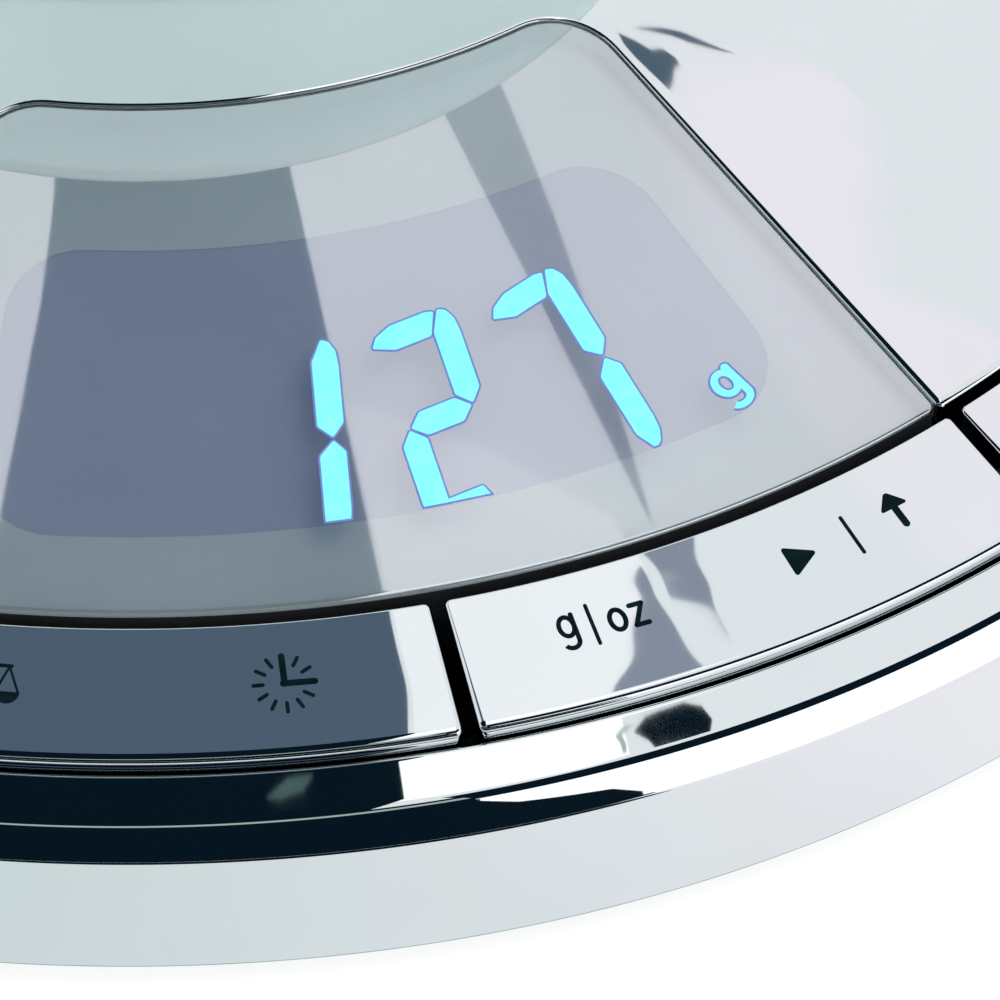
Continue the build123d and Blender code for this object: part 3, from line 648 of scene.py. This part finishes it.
def flare_runs():
    """The concave sweep from the cone up to the collar, its edge and its underside."""
    lean, end = atan2(CONE_RISE, 1.0), radians(FLARE_END)
    start = (FLARE_START_R, cone_z(FLARE_START_R))
    centre = (start[0] + FLARE_R * sin(lean), start[1] + FLARE_R * cos(lean))
    steps = 28
    angles = [lean + (end - lean) * k / steps for k in range(steps + 1)]

    def at(angle, radius, side):
        point = (centre[0] - radius * sin(angle), centre[1] - radius * cos(angle))
        return point, (side * sin(angle), side * cos(angle))

    upper = [at(a, FLARE_R, 1) for a in angles]
    lower = [at(a, FLARE_R + SHELL_T, -1) for a in reversed(angles)]
    edge_normal = (-cos(end), sin(end))
    runs = [(*p, *q) for p, q in zip(upper, upper[1:])]
    runs.append((upper[-1][0], edge_normal, lower[0][0], edge_normal))
    runs += [(*p, *q) for p, q in zip(lower, lower[1:])]
    return runs


def top(material):
    """Cone with the window's opening, and the sweep up to the collar."""
    shape = Shape()
    outline = cover_outline()
    loops = [outline, circle(FLARE_START_R, 480)[::-1]]
    add_plate(shape, loops, on_cone(), SHELL_T, bevel=cover_bevel, spacing=4.0)
    add_turned(shape, flare_runs(), 480)
    return finish_piece(shape, "chrome_top", [material], "base", "chrome_shell", "top_cover")


def cover_bevel(x, y):
    """Rolled at the outside, tighter at the window, and none where the sweep starts."""
    radius = hypot(x, y)
    if radius < FLARE_START_R + 0.3:
        return 0.0
    return 0.24 if radius < COVER_R - 0.8 else 0.5


def cover_outline():
    """The cover's edge: most of a circle, then in beside the window and out on its other side."""
    half = WINDOW_HALF + 0.13
    inner, corner = WINDOW_IN_R - 0.12, WINDOW_CORNER + 0.12
    lean = degrees(asin(corner / (inner + corner)))
    mouth = 0.6
    lip = degrees(asin(mouth / (COVER_R - mouth)))
    ring = arc_points((0, 0), COVER_R, FRONT + half + lip, FRONT + 360 - half - lip)
    left, right = FRONT + 360 - half, FRONT + half
    outline = list(ring)
    for side, turn in ((-1, left), (1, right)):
        far = COVER_R - mouth
        centre_turn = radians(turn + side * lip)
        mouth_centre = (far * cos(centre_turn), far * sin(centre_turn))
        near = inner + corner
        bend_turn = radians(turn - side * lean)
        bend_centre = (near * cos(bend_turn), near * sin(bend_turn))
        if side < 0:
            outline += arc_points(mouth_centre, mouth, turn - lip, turn + 90, 9)[1:]
            outline += arc_points(bend_centre, corner, turn + 270, turn + 180 + lean, 6)
            outline += arc_points((0, 0), inner, turn + lean, right + 360 - lean)[1:-1]
        else:
            outline += arc_points(bend_centre, corner, turn + 180 - lean, turn + 90, 6)
            outline += arc_points(mouth_centre, mouth, turn - 90, turn + lip, 9)[:-1]
    return outline


def key_bevel(x, y):
    """A tight edge towards the centre and a wider roll at the outside."""
    share = min(1.0, max(0.0, (hypot(x, y) - RING_EDGE_R + 2.5) / 2.5))
    return 0.2 + 0.3 * share


def ring_piece(start, end, spacing):
    """A stretch of the plated ring round the cone, with a skirt below its edge."""
    outline = sector_outline(KEY_IN_R, RING_EDGE_R, start, end, KEY_GAP / 2, *KEY_CORNERS)
    shape = Shape()
    add_plate(
        shape, [outline], on_cone(), KEY_T, bevel=key_bevel, steps=8, spacing=spacing, skirt=RING_SKIRT_Z,
    )
    return shape


def key(side, material):
    start = FRONT - KEY_SPAN if side == "left" else FRONT
    shape = ring_piece(start, start + KEY_SPAN, 2.0)
    node = f"{side}_key"
    return finish_piece(shape, f"chrome_key_{side}", [material], node, "chrome_key", node)


def trim(material):
    shape = ring_piece(FRONT + KEY_SPAN, FRONT + 360 - KEY_SPAN, 3.0)
    return finish_piece(shape, "chrome_ring_trim", [material], "base", "chrome_shell", "ring_trim")


# ---- Window and display ------------------------------------------------------------------
def film_outline(grow=0.0):
    return sector_outline(
        FILM_IN_R - grow, FILM_OUT_R + grow, FRONT - FILM_HALF, FRONT + FILM_HALF, FILM_INSET - grow,
        FILM_CORNER + grow, FILM_CORNER + grow,
    )


def window(materials):
    """Half-mirrored panel whose back is printed all round the display. Its front edge is black, a painted
    shade that keeps the gap before the keys dark.
    """
    outline = sector_outline(
        WINDOW_IN_R, COVER_R - 0.1, FRONT - WINDOW_HALF, FRONT + WINDOW_HALF,
        inner_corner=WINDOW_CORNER, outer_corner=0.6,
    )
    view = film_outline()
    under = [([outline, view[::-1]], MASK), ([view], CLEAR)]
    shape = Shape()
    add_plate(
        shape, [outline], on_cone(), WINDOW_T, bevel=0.35, steps=7, side_group=EDGE, under_parts=under,
    )
    # Side faces inside the front edge take a lighter copy of the mask's colour: painted light against the
    # shade on them.
    for number, corners in enumerate(shape.faces):
        radius = np.mean([hypot(*shape.points[corner][:2]) for corner in corners])
        if shape.groups[number] == EDGE and radius < COVER_R - 1.0:
            shape.groups[number] = SIDE
    return finish_piece(shape, "display_window", materials, "base", "window", "window_panel")


def film(material):
    shape = Shape()
    add_plate(shape, [film_outline(0.3)], on_cone(FILM_TOP), FILM_T, bevel=0.02, steps=1)
    return finish_piece(shape, "tinted_film", [material], "base", "display_film", "display_film")


# ---- Display segments and printing -------------------------------------------------------
def placed(points, radius, angle, tilt=0.0, slant=0.0):
    """Points of a mark drawn upright in its own frame, set on the panel facing the front."""
    turn = radians(angle + tilt)
    centre = (radius * sin(radians(angle)), -radius * cos(radians(angle)))
    upright = turn - radians(slant)
    right_way, up_way = (cos(turn), sin(turn)), (-sin(upright), cos(upright))
    return [
        (centre[0] + u * right_way[0] + v * up_way[0], centre[1] + u * right_way[1] + v * up_way[1])
        for u, v in points
    ]


def stroke(u0, v0, u1, v1, width):
    """A straight stroke with round ends."""
    turn = degrees(atan2(v1 - v0, u1 - u0))
    return (
        arc_points((u1, v1), width / 2, turn - 90, turn + 90, 15)
        + arc_points((u0, v0), width / 2, turn + 90, turn + 270, 15)
    )


def marks(name, outlines, material, body, slot, rise=PRINT_T):
    """Thin flat shapes that follow the cone, as one piece. Their top stands above its surface."""
    shape = Shape()
    surface = on_cone(-rise)
    for outline in outlines:
        rows = []
        for depth in (0.0, PRINT_T):
            rows.append(shape.add_points([(x, y, surface(x, y)[0] - depth) for x, y in outline]))
        _, out = moved_in(outline, [0.0] * len(outline))
        sides = [(ox, oy, 0.0) for ox, oy in out]
        shape.band(rows[1], rows[0], len(outline), sides, sides)
        add_sheet(shape, [outline], surface, 0.0, 1, MARK_SPACING, 0)
        add_sheet(shape, [outline], surface, PRINT_T, -1, MARK_SPACING, 0)
    return finish_piece(shape, name, [material], body, slot)


def segment_outlines():
    """The seven strokes of a digit, by letter, in the digit's own frame."""
    w, h, s = DIGIT_W / 2, DIGIT_H / 2, STROKE
    tip = 0.12
    upright = [
        (w - 0.60 * s, h - tip), (w - 0.30 * s, h - 0.20 * s), (w - 0.07 * s, h - 0.62 * s),
        (w, h - 1.2 * s), (w, 0.60 * s), (w - 0.44 * s, tip), (w - s, 0.62 * s), (w - s, h - 0.92 * s),
    ]
    bar = [
        (-w + 0.10 * s, h - 0.62 * s), (-w + 0.95 * s, h - s), (w - 1.12 * s, h - s),
        (w - 0.76 * s, h - 0.10 * s), (w - 1.1 * s, h), (-w + 1.0 * s, h), (-w + 0.35 * s, h - 0.25 * s),
    ]
    middle = [
        (-w + 0.52 * s, 0), (-w + 1.08 * s, -s / 2), (w - 1.0 * s, -s / 2), (w - 0.52 * s, 0),
        (w - 1.08 * s, s / 2), (-w + 1.0 * s, s / 2),
    ]
    return {
        "a": bar,
        "b": upright[::-1],
        "c": [(u, -v) for u, v in upright],
        "d": [(u, -v) for u, v in bar[::-1]],
        "e": [(-u, -v) for u, v in upright[::-1]],
        "f": [(-u, v) for u, v in upright],
        "g": middle,
    }


def smoothed(outline, size):
    """The outline with each corner cut twice, which rounds it."""
    result = []
    count = len(outline)
    for k in range(count):
        (x0, y0), (x, y), (x1, y1) = outline[k - 1], outline[k], outline[(k + 1) % count]
        for nx, ny in ((x0, y0), (x1, y1)):
            length = hypot(nx - x, ny - y)
            share = min(size / length, 0.4)
            result.append((x + (nx - x) * share, y + (ny - y) * share))
    return result


def clipped(outline, radius):
    """The part of an outline inside a radius, where the display's edge cuts it."""
    result = []
    for (x0, y0), (x1, y1) in zip(outline, outline[1:] + outline[:1]):
        inside, next_inside = hypot(x0, y0) <= radius, hypot(x1, y1) <= radius
        if inside:
            result.append((x0, y0))
        if inside != next_inside:
            low_t, high_t = 0.0, 1.0
            for _ in range(30):
                t = 0.5 * (low_t + high_t)
                here = hypot(x0 + (x1 - x0) * t, y0 + (y1 - y0) * t) <= radius
                low_t, high_t = (t, high_t) if here == inside else (low_t, t)
            result.append((x0 + (x1 - x0) * t, y0 + (y1 - y0) * t))
    return result


DIGITS = {"1": "bc", "2": "abged", "7": "abc"}


def digits(text, fill, line):
    """Lit segments with a fine violet outline, on the window's face."""
    strokes = segment_outlines()
    lit, edged = [], []
    for number, character in enumerate(text):
        angle = FIRST_DIGIT + DIGIT_PITCH * number
        tilt = FIRST_TILT + TILT_STEP * number - angle
        radius = DIGIT_R + DIGIT_R_STEP * (number - 1)
        for letter in DIGITS.get(character, ""):
            outline = placed(smoothed(strokes[letter], 0.1), radius, angle, tilt, DIGIT_SLANT)
            wider, _ = moved_in(outline, [-OUTLINE_W] * len(outline))
            lit.append(clipped(outline, FILM_FACE_R - OUTLINE_W))
            edged.append(clipped([tuple(p) for p in wider], FILM_FACE_R))
    marks("digit_edges", edged, line, "base", "led")
    marks("lit_digits", lit, fill, "base", "led", 2 * PRINT_T)


def clock_icon():
    """Ten hour ticks and two hands at three o'clock."""
    outlines = [stroke(-0.1, 0.0, 2.1, 0.0, 0.46), stroke(0.0, -0.02, 0.0, 2.05, 0.46)]
    for hour in range(12):
        if hour in (0, 3):
            continue
        turn = radians(90 - 30 * hour)
        across, up = cos(turn), sin(turn)
        outlines.append(stroke(1.5 * across, 1.5 * up, 2.15 * across, 2.15 * up, 0.27))
    return outlines


def balance_icon():
    """A beam with two hanging pans on a post."""
    outlines = [
        stroke(-2.1, 1.45, 2.1, 1.45, 0.26),
        stroke(0.0, 1.5, 0.0, -1.5, 0.30),
        stroke(-0.9, -1.62, 0.9, -1.62, 0.30),
    ]
    for side in (-1, 1):
        centre = 1.95 * side
        outlines.append(stroke(centre, 1.4, centre - 0.78, -0.5, 0.17))
        outlines.append(stroke(centre, 1.4, centre + 0.78, -0.5, 0.17))
        pan = arc_points((centre, -0.5), 0.9, 195, 345, 15)
        outlines.append([(centre + 0.9, -0.5), (centre - 0.9, -0.5), *pan])
    return outlines


def play_icon():
    return [smoothed(smoothed([(-1.0, 1.25), (-1.0, -1.25), (1.35, 0.0)], 0.2), 0.08)]


def up_icon():
    head = smoothed(smoothed([(0.0, 1.55), (-1.2, 0.15), (1.2, 0.15)], 0.2), 0.08)
    return [head, stroke(0.0, 0.3, 0.0, -1.25, 0.55)]


def bend(u, v, width_r, height_r, start, end, width):
    """A curved stroke along part of an ellipse."""
    turns = [radians(start + (end - start) * k / 24) for k in range(25)]
    outer = [(u + (width_r + width / 2) * cos(t), v + (height_r + width / 2) * sin(t)) for t in turns]
    inner = [(u + (width_r - width / 2) * cos(t), v + (height_r - width / 2) * sin(t)) for t in turns]
    return outer + inner[::-1]


def loop(u, v, width_r, height_r, width):
    """An oval, in two halves."""
    return [bend(u, v, width_r, height_r, start, start + 180, width) for start in (0, 180)]


def letter_g(width, grow=0.0):
    """A plain lower-case g, about 2 mm high without its tail."""
    heavy = width + grow
    return [
        *loop(0.0, 0.0, 0.62, 0.86, heavy),
        stroke(0.66, 0.98, 0.66, -1.35, heavy),
        bend(0.0, -1.35, 0.66, 0.62, -150, 0, heavy),
    ]


def sized(outlines, scale):
    return [[(scale * u, scale * v) for u, v in outline] for outline in outlines]


def letters_oz(width):
    """A round o, and a z to its right."""
    middle, half = 1.75, 0.86
    return [
        *loop(0.0, 0.0, 0.6, half, width),
        stroke(middle - 0.5, half, middle + 0.5, half, width),
        stroke(middle + 0.48, 0.84, middle - 0.48, -0.84, width),
        stroke(middle - 0.5, -half, middle + 0.55, -half, width),
    ]


def key_printing(ink):
    """Each mark is drawn upright at a radius and an angle from the centre line."""
    bar = [stroke(0, 1.5, 0, -1.5, 0.28)]
    printed = [
        ("balance_icon", balance_icon(), 95.0, -19.75, "left_key"),
        ("clock_icon", clock_icon(), 95.1, -7.1, "left_key"),
        ("unit_gram", sized(letter_g(0.4), 0.85), 94.3, 5.1, "right_key"),
        ("unit_bar", bar, 94.6, 6.2, "right_key"),
        ("unit_ounce", sized(letters_oz(0.4), 0.9), 94.75, 7.3, "right_key"),
        ("play_icon", play_icon(), 94.8, 15.9, "right_key"),
        ("key_bar", bar, 94.8, 18.5, "right_key"),
        ("up_icon", up_icon(), 94.5, 20.9, "right_key"),
    ]
    for name, outlines, radius, angle, body in printed:
        marks(name, [placed(outline, radius, angle) for outline in outlines], ink, body, "black_plastic")


def lit_unit(fill, line):
    """The lit letter beside the digits, over a slightly heavier one in the line's colour."""
    layers = [("gram_edge", 0.28, line, PRINT_T), ("gram_lit", 0.0, fill, 2 * PRINT_T)]
    for name, grow, material, rise in layers:
        wide = [[(1.3 * u, v) for u, v in outline] for outline in letter_g(0.48, grow)]
        outlines = [clipped(placed(outline, *UNIT_PLACE), FILM_FACE_R) for outline in wide]
        marks(name, outlines, material, "base", "led", rise)


# ---- Platform ----------------------------------------------------------------------------
def platform_glass(material):
    """A round plate with rolled edges."""
    corners = [
        (0.0, GLASS_LOW, 0.0),
        (GLASS_R, GLASS_LOW, 1.4),
        (GLASS_R, GLASS_TOP, 1.4),
        (0.0, GLASS_TOP, 0.0),
    ]
    shape = Shape()
    add_turned(shape, profile_runs(corners), 480)
    return finish_piece(
        shape, "frosted_platform", [material], "platform", "frosted_glass", "weighing_glass",
    )


def hub(material):
    """An open cup that widens under the glass."""
    corners = [
        (0.0, HUB_LOW, 0.0),
        (HUB_R, HUB_LOW, 0.3),
        (HUB_R, HUB_FLARE_Z[0], 1.2),
        (HUB_TOP_R, HUB_FLARE_Z[1], 0.8),
        (HUB_TOP_R, HUB_TOP, 0.3),
        (HUB_IN_R, HUB_TOP, 0.3),
        (HUB_IN_R, HUB_FLOOR_Z, 0.5),
        (0.0, HUB_FLOOR_Z, 0.0),
    ]
    shape = Shape()
    add_turned(shape, profile_runs(corners))
    return finish_piece(shape, "hub_column", [material], "platform", "satin_metal", "platform_hub")


# ---- Studio ------------------------------------------------------------------------------
def card(name, corners, material):
    """A flat card that only shows in reflections."""
    mesh = bpy.data.meshes.new(name)
    mesh.from_pydata(corners, [], [list(range(len(corners)))])
    piece = link(name, mesh, [material])
    piece.visible_camera = False
    piece.visible_diffuse = False
    piece.visible_shadow = False
    piece.visible_transmission = False


def overhead(name, outline, material, rise=0.0):
    card(name, [(x, y, CARD_HEIGHT + rise) for x, y in outline], material)


def facing(name, outline, material, nearer=0.0):
    """A card that stands in front of the scale, from (x, z) points."""
    card(name, [(x, FRONT_WALL + nearer, z) for x, z in outline], material)


def on_floor(name, outline, material, height=0.0004):
    card(name, [(x, y, height) for x, y in outline], material)


def half_ring(inner, outer):
    """The front half of a ring."""
    turns = [radians(angle) for angle in range(180, 361, 5)]
    outline = [(inner * cos(t), inner * sin(t)) for t in turns]
    return outline + [(outer * cos(t), outer * sin(t)) for t in reversed(turns)]


def floor_cards(black):
    """The floor as the plating mirrors it: tinted round the scale, and dark further to the left."""
    edge = OUTER_R * 1.002 * MM
    on_floor("floor_reflection", half_ring(edge, 0.6), floor_tint())
    on_floor("rim_shadow", half_ring(0.09, edge), light_card("rim_shadow", (0.42, 0.58, 0.58)))
    outline = [(-0.5, -0.10), (-0.12, -0.13), (0.03, -0.14), (0.30, -0.95), (-0.9, -0.95)]
    on_floor("floor_dark", outline, black, 0.0008)


def side_glow():
    """A faint lavender light with a wavy, soft edge, beside the window."""
    outline = [
        (0.87, 0.67), (0.86, 0.53), (1.00, 0.55), (1.13, 0.72), (1.036, 0.685), (1.016, 0.683),
        (1.015, 0.697), (1.041, 0.722), (1.075, 0.761), (1.150, 0.842), (1.125, 0.828), (1.15, 0.855),
        (1.20, 0.91), (1.143, 0.878), (1.026, 0.796), (0.962, 0.746),
    ]
    outline = smoothed(smoothed(outline, 0.02), 0.01)
    lavender, plain = (1.2, 1.13, 1.18), (1.08, 1.11, 1.12)
    steps = 4
    for k in range(steps):
        share = 1 - k / steps
        colour = tuple(share * a + (1 - share) * b for a, b in zip(lavender, plain))
        wider, _ = moved_in(outline, [-0.006 * k] * len(outline))
        overhead(f"side_glow_{k}", wider, light_card(f"lavender_card_{k}", colour), 0.02 + 0.004 * k)


def ceiling(black, grey, white, dim):
    """Dark and bright cards overhead, which the cone, the window, the keys and the rim mirror."""
    overhead("overhead_gap", [
        (-2, 0.1), (0.31, 0.1), (0.345, 0.9), (0.0, 0.9), (0.0, 0.57),
        (-0.012, 0.54), (-0.05, 0.485), (-0.12, 0.43), (-2, 0.36),
    ], grey)
    overhead("overhead_front", [(-4, -4), (0.16, -4), (0.31, 0.1), (-4, 0.1)], black)
    slate = light_card("slate_card", (0.42, 0.47, 0.52))
    overhead("overhead_wedge", [(0.585, 0.578), (0.62, 0.441), (0.72, 0.68), (0.60, 0.70)], slate)
    overhead("overhead_swirl", [
        (0.929, 0.754), (0.947, 0.760), (0.959, 0.763), (0.977, 0.775), (0.985, 0.776), (0.981, 0.771),
        (0.968, 0.760), (0.952, 0.745), (0.939, 0.734), (0.932, 0.736), (0.927, 0.739), (0.925, 0.745),
    ], grey)
    overhead("overhead_curl", [(0.956, 0.773), (1.026, 0.817), (1.07, 0.841), (1.022, 0.809)], grey)
    overhead("front_light", [(0.16, -1.75), (0.79, -1.75), (0.82, -0.3), (0.30, -0.3)], white, 0.01)
    overhead("front_blotch", [
        (0.812, -1.341), (0.850, -1.330), (0.918, -1.318), (0.957, -1.311), (1.000, -1.307),
        (1.018, -1.312), (1.000, -1.324), (0.952, -1.333), (0.899, -1.341), (0.861, -1.347),
        (0.845, -1.343),
    ], black, -0.01)
    overhead("front_hook", [
        (0.764, -1.346), (0.788, -1.340), (0.819, -1.336), (0.796, -1.341), (0.780, -1.345),
        (0.788, -1.348), (0.784, -1.353), (0.775, -1.354), (0.774, -1.349),
    ], dim, -0.01)
    glint = light_card("glint_card", (0.10, 0.17, 0.17))
    overhead("front_glint", [
        (-0.045, -1.341), (0.01, -1.3425), (0.07, -1.349), (0.04, -1.351), (-0.01, -1.347),
    ], glint, -0.01)
    soft = light_card("soft_card", (1.0, 1.0, 1.0), 1.25)
    overhead("key_light", [
        (0.32, -0.3), (0.55, -0.3), (0.592, 0.36), (0.600, 0.396), (0.595, 0.42), (0.585, 0.44),
        (0.33, 0.45),
    ], soft, 0.01)
    sliver = light_card("sliver_card", (0.33, 0.37, 0.46))
    overhead("key_slivers", [(0.59, 0.412), (0.615, 0.388), (0.50, 0.352), (0.53, 0.376)], sliver)
    overhead("key_sliver_top", [(0.585, 0.43), (0.665, 0.447), (0.645, 0.418), (0.61, 0.412)], sliver)


def front_wall(black, white, dim):
    """Dark cards in front, open towards the right, which the rim's shoulder mirrors."""
    facing("front_wall", [(-6, -0.2), (0.62, -0.2), (0.62, 2.4), (-6, 2.4)], black)
    facing("front_wall_foot", [
        (0.62, -0.3), (1.42, -0.1), (1.41, 0.50), (1.23, 0.70), (1.02, 0.77), (0.80, 0.84), (0.62, 0.97),
    ], black)
    facing("front_wall_right", [(0.62, 1.05), (7.0, 2.0), (7.0, 6.0), (0.62, 3.0)], black)
    facing("horizon_light", [(0.62, 0), (7.0, 0), (7.0, 2.2), (0.62, 1.2)], white, -0.1)
    facing("back_glow", [(-5, 1.45), (0.62, 1.45), (0.62, 1.9), (-5, 1.9)], dim, 0.02)


def sky():
    world = bpy.data.worlds.new("studio")
    world.use_nodes = True
    background = world.node_tree.nodes["Background"]
    background.inputs["Color"].default_value = (*SKY_TINT, 1.0)
    background.inputs["Strength"].default_value = 1.12
    bpy.context.scene.world = world
    bpy.context.scene.view_settings.view_transform = "Standard"


def ground():
    """A plain pale floor, just under the feet."""
    size, depth = 6.0, -0.0001
    mesh = bpy.data.meshes.new("floor")
    corners = [(-size, -size, depth), (size, -size, depth), (size, size, depth), (-size, size, depth)]
    mesh.from_pydata(corners, [], [(0, 1, 2, 3)])
    n = Nodes("pale_floor")
    n.set("Base Color", (0.16, 0.165, 0.165))
    n.set("Roughness", 0.9)
    n.set("Emission Color", (1.0, 1.0, 1.0))
    n.set("Emission Strength", 0.86)
    floor = link("floor", mesh, [n.material])


def lamp():
    """A wide soft light from above, on the right."""
    light = bpy.data.lights.new("overhead_light", "AREA")
    light.shape = "RECTANGLE"
    light.size = 1.6
    light.size_y = 1.2
    light.energy = 18.0
    holder = bpy.data.objects.new("overhead_light", light)
    holder.location = (0.9, -0.2, 1.6)
    holder.rotation_euler = (-holder.location).to_track_quat("-Z", "Y").to_euler()
    holder.visible_glossy = False
    holder.visible_transmission = False
    bpy.context.scene.collection.objects.link(holder)


def studio():
    black = light_card("black_card", (0.003, 0.011, 0.02))
    grey = light_card("grey_card", (0.105, 0.155, 0.215))
    white = light_card("white_card", (1.0, 1.0, 1.0), 1.6)
    dim = light_card("dim_card", (0.5, 0.6, 0.58))
    sky()
    ground()
    ceiling(black, grey, white, dim)
    side_glow()
    front_wall(black, white, dim)
    floor_cards(black)
    lamp()


# ---- Build -------------------------------------------------------------------------------
def slot_looks():
    """A material for each of the record's slots."""
    shell = chrome("chrome_shell_look", (0.67, 0.705, 0.72))
    return {
        "chrome_shell": shell,
        "chrome_key": chrome("chrome_key_look", (0.66, 0.70, 0.72), 0.04, 70.0),
        "window": shell,
        "black_plastic": plastic("black_plastic_look", (0.012, 0.014, 0.017), 0.5),
        "grey_plastic": plastic("grey_plastic_look", (0.28, 0.29, 0.30), 0.5),
        "white_plastic": plastic("white_plastic_look", (0.80, 0.84, 0.84), 0.55),
        "display_film": plastic("film_look", (0.25, 0.29, 0.42), 0.35),
        "frosted_glass": frosted_glass(),
        "satin_metal": metal("satin_look", (0.55, 0.58, 0.60), 0.3),
        "steel": metal("steel_look", (0.58, 0.58, 0.57), 0.25),
        "aluminium": metal("aluminium_look", (0.78, 0.79, 0.80), 0.35),
        "rubber": plastic("rubber_look", (0.03, 0.03, 0.032), 0.8, 2500.0, 0.3),
        "circuit_board": plastic("board_look", (0.02, 0.16, 0.07), 0.35),
        "silicone": plastic("silicone_look", (0.5, 0.52, 0.53), 0.6),
        "component": plastic("component_look", (0.02, 0.02, 0.022), 0.4),
        "battery": plastic("battery_look", (0.10, 0.14, 0.22), 0.3),
        "cable": plastic("cable_look", (0.25, 0.02, 0.02), 0.5),
        "ribbon": plastic("ribbon_look", (0.55, 0.56, 0.58), 0.5),
        "led": plastic("led_look", (0.75, 0.85, 0.80), 0.2),
        "bonding_foam": plastic("bond_look", (0.42, 0.46, 0.45), 0.7),
    }


def window_looks(edge):
    """The window's materials, in the order of their numbers."""
    mask = plastic("mask_look", (0.40, 0.48, 0.50), 0.4)
    # The side faces' colour is the mask's made lighter: painted light that makes up for the shade they
    # get.
    side = plastic("window_side_painted_light", (0.48, 0.58, 0.60), 0.4)
    return [window_material(), mask, clear_material(), edge, side]


add_camera()
studio()

looks = slot_looks()
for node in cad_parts.values():
    for k, given in enumerate(node.data.materials):
        node.data.materials[k] = looks[given.name.split(".")[0]]

rim(looks["chrome_shell"])
top(looks["chrome_shell"])
trim(looks["chrome_shell"])
key("left", looks["chrome_key"])
key("right", looks["chrome_key"])
# The window's front edge takes the black plastic: painted shade for the gap before the keys.
window(window_looks(looks["black_plastic"]))
film(looks["display_film"])
platform_glass(looks["frosted_glass"])
segment_light = glow("segment_light", (0.20, 0.95, 0.99), 1.0, (0.26, 0.88, 0.99))
segment_line = glow("segment_line", (0.10, 0.14, 0.52), 1.0, (0.14, 0.19, 0.58))
digits(" 127", segment_light, segment_line)
key_printing(print_ink())
lit_unit(segment_light, segment_line)
hub(metal("hub_look", (0.30, 0.34, 0.35), 0.3))
